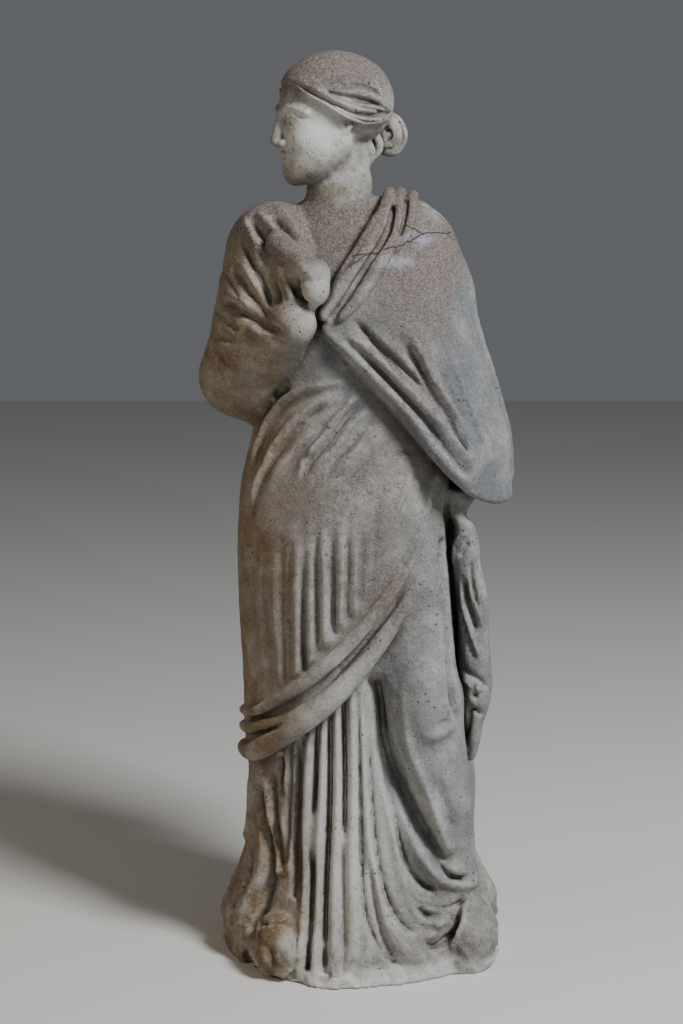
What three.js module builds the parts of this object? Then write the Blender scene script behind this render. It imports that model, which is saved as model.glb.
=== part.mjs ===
// A classical marble statue of a draped woman, carved in one with its low irregular base.
// Millimetres, +Z up. The figure faces -Y, and the origin is the middle of the flat underside.
import * as THREE from "three";

const HEIGHT = 1000; // underside to crown
const CELL = 6; // lattice spacing across the widest part of the figure
const BUDGET = 9400; // triangles in the finished solid

// ---------------------------------------------------------------------------------------------
// Smooth joins between rounded masses. Every form is a function of x, y, z that gives roughly
// the distance to its surface, negative inside the stone.

const FAR = 60; // the distance that stands for a place well outside every form

const mix = (a, b, t) => a + (b - a) * t;
const clamp01 = (t) => Math.min(1, Math.max(0, t));
const ease = (low, high, v) => {
  const t = clamp01((v - low) / (high - low));
  return t * t * (3 - 2 * t);
};
const join = (a, b, soft) => {
  const h = Math.max(soft - Math.abs(a - b), 0) / soft;
  return Math.min(a, b) - (h * h * soft) / 4;
};
const meet = (a, b, soft) => -join(-a, -b, soft);

// Several forms run into one another.
const blend = (soft, ...forms) => (x, y, z) => {
  let d = FAR;
  for (const form of forms) d = join(d, form(x, y, z), soft);
  return d;
};

function ball([cx, cy, cz], [rx, ry, rz]) {
  return (x, y, z) => {
    const u = (x - cx) / rx;
    const v = (y - cy) / ry;
    const w = (z - cz) / rz;
    const k = Math.hypot(u, v, w);
    return (k * (k - 1)) / Math.max(Math.hypot(u / rx, v / ry, w / rz), 1e-6);
  };
}

function limb([ax, ay, az], thick, [bx, by, bz], thin) {
  const dx = bx - ax;
  const dy = by - ay;
  const dz = bz - az;
  const length2 = dx * dx + dy * dy + dz * dz;
  return (x, y, z) => {
    const t = clamp01(((x - ax) * dx + (y - ay) * dy + (z - az) * dz) / length2);
    return Math.hypot(x - ax - dx * t, y - ay - dy * t, z - az - dz * t) - mix(thick, thin, t);
  };
}

// A tube through beads of [x, y, z, radius]. Well clear of it only a rough distance is given.
function chain(beads) {
  const runs = beads.slice(1).map((b, n) => limb(beads[n], beads[n][3], b, b[3]));
  const reach = 36;
  const box = new THREE.Box3().setFromPoints(beads.map(([x, y, z]) => new THREE.Vector3(x, y, z)));
  box.expandByScalar(reach);
  const probe = new THREE.Vector3();
  return (x, y, z) => {
    probe.set(x, y, z);
    if (!box.containsPoint(probe)) return 20 + box.distanceToPoint(probe);
    let d = Infinity;
    for (const run of runs) d = Math.min(d, run(x, y, z));
    return d;
  };
}

// Reads a table of rows, each a place and its values, at any place between them.
function course(rows) {
  const low = rows[0][0];
  const high = rows.at(-1)[0];
  const slope = (i, c) => {
    const a = rows[Math.max(i - 1, 0)];
    const b = rows[Math.min(i + 1, rows.length - 1)];
    return (b[c] - a[c]) / (b[0] - a[0]);
  };
  const table = [];
  let i = 0;
  for (let at = low; at <= high; at++) {
    while (i < rows.length - 2 && at > rows[i + 1][0]) i++;
    const [a, b] = [rows[i], rows[i + 1]];
    const span = b[0] - a[0];
    const t = (at - a[0]) / span;
    const t2 = t * t;
    const t3 = t2 * t;
    const blendAt = (c) =>
      (2 * t3 - 3 * t2 + 1) * a[c] +
      (t3 - 2 * t2 + t) * span * slope(i, c) +
      (3 * t2 - 2 * t3) * b[c] +
      (t3 - t2) * span * slope(i + 1, c);
    table.push(a.slice(1).map((_, n) => blendAt(n + 1)));
  }
  return (at) => {
    const s = Math.min(Math.max(at - low, 0), table.length - 1.001);
    const n = Math.floor(s);
    return table[n].map((value, c) => mix(value, table[n + 1][c], s - n));
  };
}

// A column of cloth: height, middle x, middle y, half width, front depth, back depth.
function loft(rows) {
  const at = course(rows);
  return (x, y, z) => {
    const [mx, my, half, front, back] = at(z);
    const depth = y < my ? front : back;
    const u = (x - mx) / half;
    const v = (y - my) / depth;
    const k = Math.hypot(u, v);
    return (k * (k - 1)) / Math.max(Math.hypot(u / half, v / depth), 1e-6);
  };
}

// A smooth curve through points of any number of values, with a few steps to every stretch.
function smoothLine(points, steps = 5) {
  const before = points[0].map((value, c) => 2 * value - points[1][c]);
  const after = points.at(-1).map((value, c) => 2 * value - points.at(-2)[c]);
  const p = [before, ...points, after];
  const line = [];
  for (let n = 0; n <= steps * (points.length - 1); n++) {
    const i = Math.min(Math.floor(n / steps), points.length - 2);
    const t = n / steps - i;
    const at = (c) => {
      const [a, b, d, e] = [p[i][c], p[i + 1][c], p[i + 2][c], p[i + 3][c]];
      const bend = (2 * a - 5 * b + 4 * d - e) * t * t + (3 * b - a - 3 * d + e) * t ** 3;
      return 0.5 * (2 * b + (d - a) * t + bend);
    };
    line.push(points[0].map((_, c) => at(c)));
  }
  return line;
}

// ---------------------------------------------------------------------------------------------
// Carving. A cut follows a line dropped on a form from outside, and raises or lowers the surface
// beside that line. A line's points are [x, height] seen from straight in front, or, where its
// place is "around", [turn, height]: degrees round the vertical axis, 0 at the front and positive
// towards the figure's left.

const REACH = 45; // how deep under and over a form its cuts are felt
const CLEAR = 240; // far enough from the axis to be outside everything

class Layer {
  // bed is the form before it was trimmed to its edges; lines are dropped on the bed
  constructor(form, bed = form) {
    this.form = form;
    this.bed = bed;
    this.cuts = [];
  }

  distance(x, y, z) {
    const d = this.form(x, y, z);
    return Math.abs(d) > REACH ? d : d - this.relief(x, y, z);
  }

  relief(x, y, z) {
    let sum = 0;
    for (const cut of this.cuts) {
      const { low, high } = cut;
      if (x < low.x || x > high.x || y < low.y || y > high.y || z < low.z || z > high.z) continue;
      sum += cutHeight(cut, x, y, z);
    }
    return sum;
  }

  normal(p) {
    const e = 0.5;
    return new THREE.Vector3(
      this.bed(p.x + e, p.y, p.z) - this.bed(p.x - e, p.y, p.z),
      this.bed(p.x, p.y + e, p.z) - this.bed(p.x, p.y - e, p.z),
      this.bed(p.x, p.y, p.z + e) - this.bed(p.x, p.y, p.z - e),
    ).normalize();
  }

  drop(start, way) {
    const p = start.clone();
    for (let step = 0; step < 60; step++) {
      const d = this.bed(p.x, p.y, p.z);
      if (Math.abs(d) < 0.3) break;
      p.addScaledVector(way, Math.min(d, 30));
    }
    return p;
  }

  facing(x, z) {
    return this.drop(new THREE.Vector3(x, -CLEAR, z), new THREE.Vector3(0, 1, 0));
  }

  around(turn, z) {
    const a = THREE.MathUtils.degToRad(turn);
    const out = new THREE.Vector3(Math.sin(a), -Math.cos(a), 0);
    return this.drop(out.clone().multiplyScalar(CLEAR).setZ(z), out.negate());
  }

  // height is positive for a ridge and negative for a groove; both it and width may be a pair
  // for the two ends. fade is how much of its length each end takes to fade, and power shapes
  // the section: 2 is rounded, 1 has a sharp crest or bottom.
  carve(line, { width, height, fade = [0.1, 0.1], power = 2, place = "facing" }) {
    const points = smoothLine(line).map(([a, z]) => this[place](a, z));
    const widths = [width].flat();
    const heights = [height].flat();
    const box = new THREE.Box3().setFromPoints(points).expandByScalar(3 * Math.max(...widths));
    this.cuts.push({
      points,
      normals: points.map((p) => this.normal(p)),
      widths: [widths[0], widths.at(-1)],
      heights: [heights[0], heights.at(-1)],
      fade,
      power,
      low: box.min,
      high: box.max,
    });
  }

  // A family of like cuts, spread evenly from a first line to a last one.
  pleats(first, last, count, style) {
    for (let n = 0; n < count; n++) {
      const t = n / (count - 1);
      const line = first.map(([a, z], i) => [mix(a, last[i][0], t), mix(z, last[i][1], t)]);
      const swing = 1 + 0.18 * Math.sin(2.4 * n + 1); // no two folds are quite alike
      this.carve(line, { ...style, height: [style.height].flat().map((h) => h * swing) });
    }
  }

  // Beads of a rope that lies partly sunk in this layer, over seats on it, each with its radius.
  beadsOver(seats, thick, sunk) {
    const line = smoothLine(seats.map((seat, n) => [...seat.toArray(), thick[n]]));
    return line.map(([x, y, z, radius]) => {
      const seat = new THREE.Vector3(x, y, z);
      seat.addScaledVector(this.normal(seat), radius * (1 - 2 * sunk));
      return [...seat.toArray(), radius];
    });
  }
}

function cutHeight({ points, normals, widths, heights, fade, power }, x, y, z) {
  let best = Infinity;
  let along = 0;
  for (let i = 0; i < points.length - 1; i++) {
    const a = points[i];
    const b = points[i + 1];
    const dx = b.x - a.x;
    const dy = b.y - a.y;
    const dz = b.z - a.z;
    const px = x - a.x;
    const py = y - a.y;
    const pz = z - a.z;
    const t = clamp01((px * dx + py * dy + pz * dz) / (dx * dx + dy * dy + dz * dz));
    const vx = px - dx * t;
    const vy = py - dy * t;
    const vz = pz - dz * t;
    const m = normals[i];
    const n = normals[i + 1];
    const off = vx * mix(m.x, n.x, t) + vy * mix(m.y, n.y, t) + vz * mix(m.z, n.z, t);
    const gap = vx * vx + vy * vy + vz * vz - off * off;
    if (gap < best) {
      best = gap;
      along = (i + t) / (points.length - 1);
    }
  }
  const u = Math.sqrt(Math.max(best, 0)) / mix(widths[0], widths[1], along);
  if (u > 3) return 0;
  const body = ease(0, fade[0], along) * ease(0, fade[1], 1 - along);
  return mix(heights[0], heights[1], along) * body * Math.exp(-(u ** power));
}

// ---------------------------------------------------------------------------------------------
// The plinth: the foot of the block, a low uneven slab left under the figure and cut flat
// underneath. The rim is given as degrees round from the front, and distance from the middle.

const rimAt = course([
  [-180, 148],
  [-120, 150],
  [-95, 152],
  [-70, 147],
  [-45, 147],
  [-26, 154],
  [-12, 161],
  [4, 152],
  [14, 143],
  [28, 142],
  [40, 150],
  [48, 166],
  [60, 171],
  [76, 167],
  [110, 157],
  [150, 149],
  [180, 148],
]);
const chips = [
  ball([150, -84, 14], [12, 12, 12]),
  ball([30, -156, 12], [9, 9, 9]),
  ball([-118, -86, 8], [10, 10, 10]),
];
const plinth = new Layer((x, y, z) => {
  const turn = THREE.MathUtils.radToDeg(Math.atan2(x, -y));
  const ripple = 1.6 * Math.sin(turn / 3.1) * Math.sin(turn / 7.3 + 1);
  const flakes = ripple - 1.2 * Math.abs(Math.sin(turn / 4.7 + z / 19));
  const edge = Math.hypot(x, y) - rimAt(turn)[0] - flakes + 0.25 * z;
  const top = z - 13 - 1.5 * Math.sin(x / 17) * Math.sin(y / 23);
  return chips.reduce((d, chip) => meet(d, -chip(x, y, z), 2), meet(edge * 0.95, top, 7));
});

// ---------------------------------------------------------------------------------------------
// The chiton: the thin gown that falls to the plinth. The free leg pushes through it, and it is
// cut with deep upright folds between the feet and curved ones that swing round the shin.

const gown = loft([
  [0, 3, 0, 154, 150, 144],
  [20, 3, 0, 156, 147, 141],
  [36, 1, 0, 156, 140, 136],
  [50, 1, 0, 153, 133, 129],
  [66, 3, 0, 146, 126, 122],
  [83, 2, 0, 138, 120, 117],
  [107, 1, 0, 129, 112, 110],
  [141, 3, 0, 126, 105, 103],
  [193, 4, 0, 127, 98, 97],
  [282, -1, 0, 118, 91, 92],
  [340, -8, 0, 108, 86, 87],
  [520, -12, 0, 94, 80, 78],
  [610, -8, 4, 80, 64, 66],
]);
const thigh = limb([38, -22, 610], 46, [75, -68, 300], 37);
const leg = blend(18, thigh, limb([77, -70, 298], 37, [110, -62, 62], 28));
const knee = ball([80, -92, 316], [22, 18, 30]);
const coveredFoot = ball([127, -78, 30], [31, 43, 47]);
const chiton = new Layer((x, y, z) => {
  const cloth = join(join(gown(x, y, z), leg(x, y, z), 34), knee(x, y, z), 24);
  return meet(join(cloth, coveredFoot(x, y, z), 10), z - 610, 10);
});

const ridge = { width: 5.5, height: 6, fade: [0.08, 0.08] };
const valley = { width: 5.5, height: -7.2, fade: [0.08, 0.12], power: 1.6 };
const slit = { width: 5.5, height: -10.4, fade: [0.12, 0.1], power: 1.8 };
// flaring folds at the right side
chiton.carve(
  [[-119, 215], [-121, 148], [-128, 114], [-140, 86], [-152, 66]],
  { width: [6, 9], height: [4, 8] },
);
chiton.carve(
  [[-117, 150], [-119, 114], [-124, 86], [-134, 68], [-144, 50]],
  { width: [5.5, 6], height: [-5.6, -11.4] },
);
chiton.carve(
  [[-112, 215], [-107, 159], [-105, 126], [-108, 97], [-118, 75], [-129, 46]],
  { width: [6, 9], height: [5, 9] },
);
chiton.carve(
  [[-110, 204], [-104, 171], [-96, 137], [-94, 103], [-101, 75], [-111, 49], [-123, 33]],
  { width: [5.5, 8], height: [-6.3, -15.2] },
);
chiton.carve(
  [[-104, 220], [-98, 187], [-95, 154], [-90, 117], [-84, 102]],
  { width: 5.5, height: [4.2, 6.3] },
);
chiton.carve([[-95, 220], [-91, 171], [-87, 137], [-83, 108]], valley);
chiton.carve(
  [[-86, 240], [-83, 226], [-85, 204], [-83, 182]],
  { width: 5.5, height: -8.5, fade: [0.2, 0.3], power: 2 },
);
chiton.carve([[-84, 178], [-80, 150], [-77, 118]], { width: 5.5, height: 3.2, fade: [0.3, 0.2] });
chiton.carve([[-78, 250], [-78, 215], [-81, 190]], { width: 5.5, height: 2.4, fade: [0.2, 0.3] });
// upright folds between the feet
chiton.carve([[-73, 262], [-74, 204], [-76, 148], [-79, 114]], valley);
chiton.carve([[-70, 262], [-70, 204], [-72, 148], [-74, 100]], { width: 5.5, height: 4 });
chiton.carve(
  [[-65, 262], [-67, 204], [-68, 148], [-69, 96], [-72, 82]],
  { width: 5.5, height: -5.5, power: 1.6 },
);
chiton.carve(
  [[-58, 270], [-62, 226], [-63, 182], [-63, 126], [-64, 70]],
  { width: 5.5, height: [-5.5, -7.9], power: 1.6 },
);
chiton.carve(
  [[-51, 280], [-53, 226], [-56, 182], [-58, 148], [-56, 114], [-58, 69], [-61, 29], [-64, 3]],
  ridge,
);
chiton.carve(
  [[-43, 295], [-45, 226], [-48, 168]],
  { width: 5.5, height: [-4.9, -7.3], fade: [0.1, 0.2], power: 1.6 },
);
chiton.carve([[-51, 145], [-49, 114], [-51, 69], [-54, 23], [-56, 6]], slit);
chiton.carve([[-36, 295], [-37, 215], [-41, 148], [-42, 92], [-45, 35], [-47, 3]], ridge);
chiton.carve(
  [[-30, 305], [-30, 226], [-32, 148], [-35, 92], [-36, 35], [-37, 4]],
  { width: 5.5, height: [-9.2, -10.4], fade: [0.05, 0.08], power: 1.8 },
);
chiton.carve([[-23, 305], [-21, 226], [-22, 171], [-25, 114], [-25, 58], [-25, 2]], ridge);
chiton.carve(
  [[-15, 315], [-13, 237], [-13, 146]],
  { width: 5.5, height: -7.9, fade: [0.05, 0.15], power: 1.7 },
);
chiton.carve(
  [[-14, 150], [-15, 114], [-14, 58], [-15, 8]],
  { width: 5.5, height: -3, fade: [0.2, 0.15], power: 1.6 },
);
chiton.carve(
  [[-6, 320], [-5, 226], [-6, 148], [-5, 92], [-5, 12]],
  { width: 7.5, height: 8, fade: [0.08, 0.08] },
);
chiton.carve(
  [[-1, 330], [2, 249], [4, 182], [5, 126], [7, 86], [15, 58], [31, 33], [58, 15]],
  { width: 5.5, height: [-2.1, -7], power: 1.5 },
);
// folds that curve round the shin to the left foot
chiton.carve(
  [[5, 335], [7, 271], [9, 204], [14, 148], [22, 103], [29, 71], [40, 49], [57, 33], [83, 20]],
  { width: [5.5, 7], height: [4.5, 8] },
);
chiton.carve(
  [[12, 140], [17, 103], [23, 69], [33, 41], [46, 26]],
  { width: 5.5, height: -4.9, fade: [0.3, 0.2], power: 1.6 },
);
chiton.carve(
  [[10, 330], [12, 271], [15, 204], [20, 148], [27, 109], [38, 80], [52, 60], [70, 48]],
  { width: 5.5, height: [-3.1, -10.4], power: 1.6 },
);
chiton.carve(
  [[17, 320], [20, 271], [26, 232], [32, 199], [39, 159], [44, 131], [50, 101], [62, 84], [79, 75],
   [96, 74], [114, 80]],
  { width: [5.5, 6], height: [2.8, 8] },
);
chiton.carve(
  [[22, 305], [26, 249], [33, 210], [42, 171], [50, 137], [60, 114], [75, 97], [92, 90]],
  { width: 5.5, height: [-2.6, -9.9], power: 1.6 },
);
chiton.carve(
  [[26, 265], [33, 226], [42, 199], [53, 171], [64, 143], [76, 121], [89, 105], [106, 97], [125, 94],
   [138, 95]],
  { width: [5.5, 6], height: [2.8, 7] },
);
chiton.carve(
  [[18, 335], [25, 275], [36, 230], [50, 190]],
  { width: [7, 11], height: [-20, -20], fade: [0.08, 0.35] },
);
chiton.carve(
  [[34, 245], [50, 198], [70, 160], [90, 133], [110, 117]],
  { width: [15, 8], height: [-20, -13], fade: [0.3, 0.15] },
);
chiton.carve(
  [[60, 160], [83, 128], [104, 114], [124, 108]],
  { width: 5.5, height: 4.5, fade: [0.3, 0.15] },
);
chiton.carve(
  [[70, 140], [90, 119], [108, 106], [126, 101]],
  { width: 5.5, height: -3.1, fade: [0.3, 0.15], power: 1.6 },
);
chiton.carve(
  [[51, 99], [62, 85], [76, 77], [94, 73], [114, 76], [130, 88]],
  { width: 5.5, height: -3.6, fade: [0.2, 0.2], power: 1.6 },
);
chiton.carve(
  [[52, 90], [62, 72], [76, 60], [92, 55], [106, 62]],
  { width: 5.5, height: [4.2, 5.4], fade: [0.2, 0.2] },
);
chiton.carve([[62, 79], [74, 70], [86, 59]], { width: 5.5, height: -8.1, fade: [0.3, 0.3] });
chiton.carve(
  [[72, 42], [86, 35], [98, 38], [108, 54], [114, 74]],
  { width: [5.5, 6], height: [-8.5, -11.4], fade: [0.2, 0.2], power: 1.7 },
);
chiton.carve([[123, 86], [117, 63], [110, 44], [101, 25]], { width: 5.5, height: 4.3, fade: [0.15, 0.2] });
// the shin's edge, knee and thigh under the cloth
chiton.carve(
  [[47, 350], [50, 300], [57, 255], [70, 221], [83, 187], [93, 153], [103, 124], [118, 104]],
  { width: [5.5, 7], height: [2.1, 8], fade: [0.3, 0.15] },
);
chiton.carve([[84, 225], [93, 198], [101, 172], [108, 148]], { width: 7, height: -5, fade: [0.3, 0.3] });
chiton.carve(
  [[103, 312], [108, 292], [100, 277], [82, 268], [66, 266]],
  { width: [5.5, 8], height: [3.6, 3], fade: [0.2, 0.3] },
);
chiton.carve([[98, 290], [94, 281], [84, 277]], { width: 5.5, height: -2.7, fade: [0.3, 0.3] });
chiton.carve(
  [[94, 480], [97, 440], [101, 380], [104, 330], [108, 296], [112, 268]],
  { width: [6, 5.5], height: [-22, -15], fade: [0.05, 0.25] },
);
const behind = { width: [6, 8], height: [4, 8], fade: [0.05, 0.08], place: "around" };
chiton.pleats([[92, 240], [93, 130], [94, 12]], [[180, 240], [180, 130], [180, 12]], 7, behind);
chiton.pleats([[-104, 240], [-106, 130], [-110, 12]], [[-170, 240], [-170, 130], [-170, 12]], 6, behind);
const between = { width: [5.5, 6], height: [-2.8, -7], fade: [0.25, 0.1], place: "around" };
chiton.pleats([[99, 220], [101, 130], [102, 30]], [[173, 220], [173, 130], [173, 30]], 6, between);
chiton.pleats([[-98, 220], [-99, 130], [-103, 30]], [[-164, 220], [-164, 130], [-164, 30]], 6, between);

// ---------------------------------------------------------------------------------------------
// The right foot: a worn lump that stands forward, with the gown's hem over its instep.

const toes = blend(7, ball([-98, -118, 22], [14, 20, 19]), ball([-80, -124, 24], [18, 20, 21]));
const foot = new Layer(blend(9, ball([-86, -104, 42], [24, 34, 27]), toes));

foot.carve([[-96, 44], [-92, 26], [-84, 12]], { width: 5.5, height: -2.8, fade: [0.3, 0.2] });
foot.carve([[-84, 50], [-76, 34], [-70, 14]], { width: 5.5, height: 3.6, fade: [0.3, 0.2] });

// ---------------------------------------------------------------------------------------------
// The mantle: the heavy outer cloth, wrapped round body and hips. Its hem climbs from the right
// calf to the left hip; folds arc across the waist, fan from the hip and hang down the thigh.

const wrap = loft([
  [150, -2, 0, 122, 108, 100],
  [200, -3, 0, 122, 107, 100],
  [282, -6, 0, 121, 104, 98],
  [340, -10, 0, 119, 103, 97],
  [398, -13, 0, 119, 103, 96],
  [451, -14, 0, 119, 104, 95],
  [489, -13, 0, 119, 104, 93],
  [534, -9, 0, 119, 99, 90],
  [578, -6, 2, 112, 91, 88],
  [620, -2, 4, 107, 86, 86],
  [700, 0, 5, 105, 84, 84],
  [760, 0, 6, 103, 76, 80],
  [800, -2, 8, 88, 58, 66],
  [830, -6, 8, 64, 42, 50],
  [852, -12, 6, 40, 33, 38],
]);
// height of the hem across the front, from the figure's right to its left
const hemAt = course([
  [-200, 170],
  [-128, 205],
  [-92, 240],
  [-40, 300],
  [6, 352],
  [50, 412],
  [90, 490],
  [120, 560],
  [200, 640],
]);
const mantle = new Layer((x, y, z) => {
  const hem = mix(hemAt(x)[0], 205 + 0.25 * (x + 130), ease(-45, 10, y));
  return meet(meet(wrap(x, y, z), (hem - z) * 0.75, 14), z - 846, 12);
}, wrap);

const crest = { width: 5.5, height: [4.8, 4.5], fade: [0.12, 0.15] };
const crease = { width: 5.5, height: [-5.6, -4.2], fade: [0.12, 0.15], power: 1.6 };
// arcs that sweep from the right hip up across the waist
mantle.carve(
  [[-93, 630], [-82, 638], [-71, 645]],
  { width: 5.5, height: -7.2, fade: [0.1, 0.3], power: 1.6 },
);
mantle.carve(
  [[-119, 535], [-112, 570], [-102, 596], [-92, 613], [-78, 629], [-63, 638], [-47, 644], [-26, 649],
   [-8, 652]],
  crest,
);
mantle.carve(
  [[-119, 540], [-111, 566], [-99, 594], [-84, 615], [-73, 625], [-62, 632], [-49, 640], [-34, 643]],
  { width: 5.5, height: [-8.8, -4.8], fade: [0.15, 0.2], power: 1.6 },
);
mantle.carve(
  [[-116, 505], [-110, 535], [-99, 560], [-89, 581], [-73, 602], [-57, 617], [-39, 629], [-18, 634]],
  crest,
);
mantle.carve(
  [[-117, 492], [-110, 523], [-100, 546], [-90, 567], [-77, 586], [-62, 603], [-44, 618], [-28, 627]],
  crease,
);
mantle.carve(
  [[-98, 533], [-91, 550], [-78, 567], [-65, 583], [-52, 595], [-45, 600]],
  { width: 5.5, height: 3.6, fade: [0.3, 0.3] },
);
mantle.carve(
  [[-86, 540], [-76, 556], [-63, 573], [-50, 585], [-40, 595], [-22, 610]],
  { width: 5.5, height: -5.4, fade: [0.3, 0.2], power: 1.6 },
);
mantle.carve(
  [[-56, 568], [-50, 577], [-39, 591], [-26, 608], [-15, 620], [-7, 630], [7, 638]],
  { width: 5.5, height: 3.6, fade: [0.2, 0.2] },
);
mantle.carve(
  [[-66, 541], [-52, 563], [-39, 577], [-28, 592], [-17, 606], [-8, 617], [5, 628]],
  { width: 5.5, height: -5.6, fade: [0.2, 0.2], power: 1.6 },
);
mantle.carve([[-66, 545], [-60, 558], [-60, 572]], { width: 5.5, height: 1.5, fade: [0.3, 0.3] });
mantle.carve(
  [[-50, 552], [-43, 563], [-24, 581], [-11, 600], [0, 612], [17, 626]],
  { width: 5.5, height: 3.6, fade: [0.25, 0.2] },
);
mantle.carve(
  [[-38, 552], [-20, 572], [-8, 584], [6, 600], [22, 615]],
  { width: 5.5, height: -4.9, fade: [0.25, 0.2], power: 1.6 },
);
mantle.carve(
  [[-34, 545], [-14, 564], [1, 582], [16, 595], [32, 604]],
  { width: 5.5, height: 3, fade: [0.25, 0.25] },
);
mantle.carve([[-26, 536], [-8, 552], [8, 568], [22, 584]], { width: 5.5, height: -2.1, fade: [0.3, 0.3] });
// folds that fan down from the left hip
mantle.carve(
  [[64, 556], [53, 537], [42, 514], [33, 488], [24, 458]],
  { width: [5.5, 7], height: [3.5, 3], fade: [0.2, 0.4] },
);
mantle.carve(
  [[68, 561], [60, 543], [52, 521], [44, 500], [35, 474]],
  { width: [5.5, 6], height: [-2.6, -3], fade: [0.2, 0.4] },
);
mantle.carve(
  [[75, 570], [74, 548], [70, 523], [64, 497]],
  { width: 5.5, height: -4.6, fade: [0.1, 0.3], power: 1.6 },
);
mantle.carve(
  [[40, 556], [34, 530], [25, 500], [14, 462]],
  { width: [5.5, 8], height: [2.7, 3], fade: [0.3, 0.4] },
);
mantle.carve(
  [[80, 552], [78, 530], [74, 505], [66, 478]],
  { width: [5.5, 6], height: [3.5, 5], fade: [0.2, 0.3] },
);
mantle.carve(
  [[88, 545], [86, 525], [80, 505], [70, 482]],
  { width: 5.5, height: -3.6, fade: [0.2, 0.3], power: 1.6 },
);
const hang = { fade: [0.4, 0.06], power: 1.6 };
mantle.carve([[-114, 500], [-113, 379], [-110, 300]], { ...hang, width: 5.5, height: -2.8 });
mantle.carve([[-101, 480], [-99, 401], [-93, 357], [-88, 318]], { ...hang, width: 5.5, height: -3.5 });
mantle.carve([[-82, 480], [-80, 390], [-78, 318]], { ...hang, width: 5.5, height: -3.6 });
mantle.carve([[-72, 480], [-73, 401], [-72, 328]], { ...hang, width: 5.5, height: -3.1 });
mantle.carve(
  [[-58, 505], [-58, 422], [-59, 368], [-56, 343]],
  { ...hang, width: 5.5, height: [-5.6, -10.4] },
);
mantle.carve([[-43, 505], [-44, 444], [-43, 368]], { ...hang, width: 5.5, height: -3 });
mantle.carve(
  [[-28, 520], [-27, 465], [-26, 422], [-26, 382]],
  { ...hang, width: 5.5, height: [-5.6, -9.6] },
);
mantle.carve([[-10, 505], [-11, 444], [-12, 400]], { ...hang, width: 5.5, height: -3.5 });
mantle.carve([[5, 505], [3, 455], [1, 422]], { ...hang, width: 5.5, height: -2.4 });
mantle.carve([[20, 505], [17, 465], [15, 438]], { ...hang, width: 5.5, height: -2.8 });
const swell = { width: 5.5, fade: [0.4, 0.06] };
mantle.carve([[-107, 470], [-105, 390], [-100, 320]], { ...swell, height: 3 });
mantle.carve([[-91, 470], [-89, 390], [-85, 325]], { ...swell, height: 3 });
mantle.carve([[-65, 500], [-65, 400], [-65, 338]], { ...swell, height: 6 });
mantle.carve([[-50, 500], [-51, 400], [-50, 355]], { ...swell, height: 5 });
mantle.carve([[-36, 510], [-36, 440], [-34, 374]], { ...swell, height: 6 });
mantle.carve([[-18, 510], [-18, 450], [-19, 395]], { ...swell, height: 5 });
mantle.carve([[-3, 500], [-4, 440], [-5, 412]], { ...swell, height: 4 });
mantle.carve(
  [[70, 560], [80, 500], [90, 450], [95, 400], [100, 340], [106, 280]],
  { width: 5.5, height: -10.4, fade: [0.2, 0.05], place: "around" },
);
const swagTop = [[-96, 450], [-130, 520], [-170, 640], [-205, 760]];
const swagLow = [[-92, 300], [-130, 350], [-170, 440], [-215, 560]];
mantle.pleats(swagTop, swagLow, 5, { width: 9, height: 6, fade: [0.2, 0.1], place: "around" });
const gapTop = [[-94, 415], [-130, 480], [-170, 590], [-205, 710]];
const gapLow = [[-90, 280], [-130, 320], [-170, 400], [-215, 520]];
mantle.pleats(gapTop, gapLow, 4, { width: 6, height: -6, fade: [0.2, 0.1], place: "around" });

// ---------------------------------------------------------------------------------------------
// The rolled hem: ropes of cloth that lie on the thigh and taper up to the left hip. Each is
// given by its way across the front, its radii, and the start of its way round the right side.

function hemRope(line, thick, back) {
  const seats = back.map(([turn, z]) => mantle.around(turn, z));
  seats.push(...line.map(([x, z]) => mantle.facing(x, z)));
  return chain(mantle.beadsOver(seats, thick, 0.3));
}

const upperLine = [
  [-112, 281], [-98, 292], [-62, 321], [-31, 346], [-8, 370], [12, 393], [30, 418], [45, 440], [58, 464],
  [70, 492],
];
const middleLine = [[-115, 262], [-98, 272], [-75, 283], [-55, 300]];
const lowerLine = [
  [-114, 235], [-98, 248], [-62, 279], [-31, 307], [-9, 331], [11, 355], [29, 380], [43, 401], [54, 422],
  [63, 446],
];
const upperRoll = hemRope(upperLine, [4, 6, 7, 8, 9, 10, 10, 9, 8, 7, 6, 5], [[-120, 262], [-92, 270]]);
const middleRoll = hemRope(middleLine, [5, 7, 8, 8, 7, 4], [[-120, 244], [-92, 252]]);
const lowerRoll = hemRope(lowerLine, [6, 9, 11, 12, 13, 13, 12, 11, 10, 8, 6, 4], [[-120, 222], [-92, 226]]);
const hemRoll = new Layer(blend(5, upperRoll, middleRoll, lowerRoll), wrap);

hemRoll.carve(
  [[-67, 300], [-41, 322], [-21, 343], [0, 366], [20, 389], [42, 416], [57, 441]],
  { width: 5.5, height: [-5.5, -2.1], fade: [0.15, 0.3], power: 1.6 },
);

// ---------------------------------------------------------------------------------------------
// The tail: the end of the mantle, folded on itself and hanging from the hidden left hand.

const fall = loft([
  [216, 127, -34, 4, 8, 8],
  [243, 129, -36, 9, 14, 16],
  [268, 130, -38, 12, 19, 26],
  [291, 132, -38, 17, 22, 34],
  [314, 132, -38, 19, 23, 38],
  [360, 129, -38, 18, 23, 42],
  [405, 127, -38, 18, 23, 44],
  [450, 120, -38, 16, 22, 44],
  [472, 120, -37, 14, 20, 44],
  [488, 118, -36, 11, 17, 44],
  [500, 111, -34, 10, 14, 44],
  [520, 110, -28, 22, 16, 44],
]);
// a web of stone behind it ties it to the body
const web = limb([108, -10, 510], 11, [114, -12, 250], 11);
const tail = new Layer((x, y, z) => {
  const cloth = meet(meet(fall(x, y, z), 222 - z, 5), z - 530, 8);
  return join(cloth, web(x, y, z), 5);
}, fall);

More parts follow.
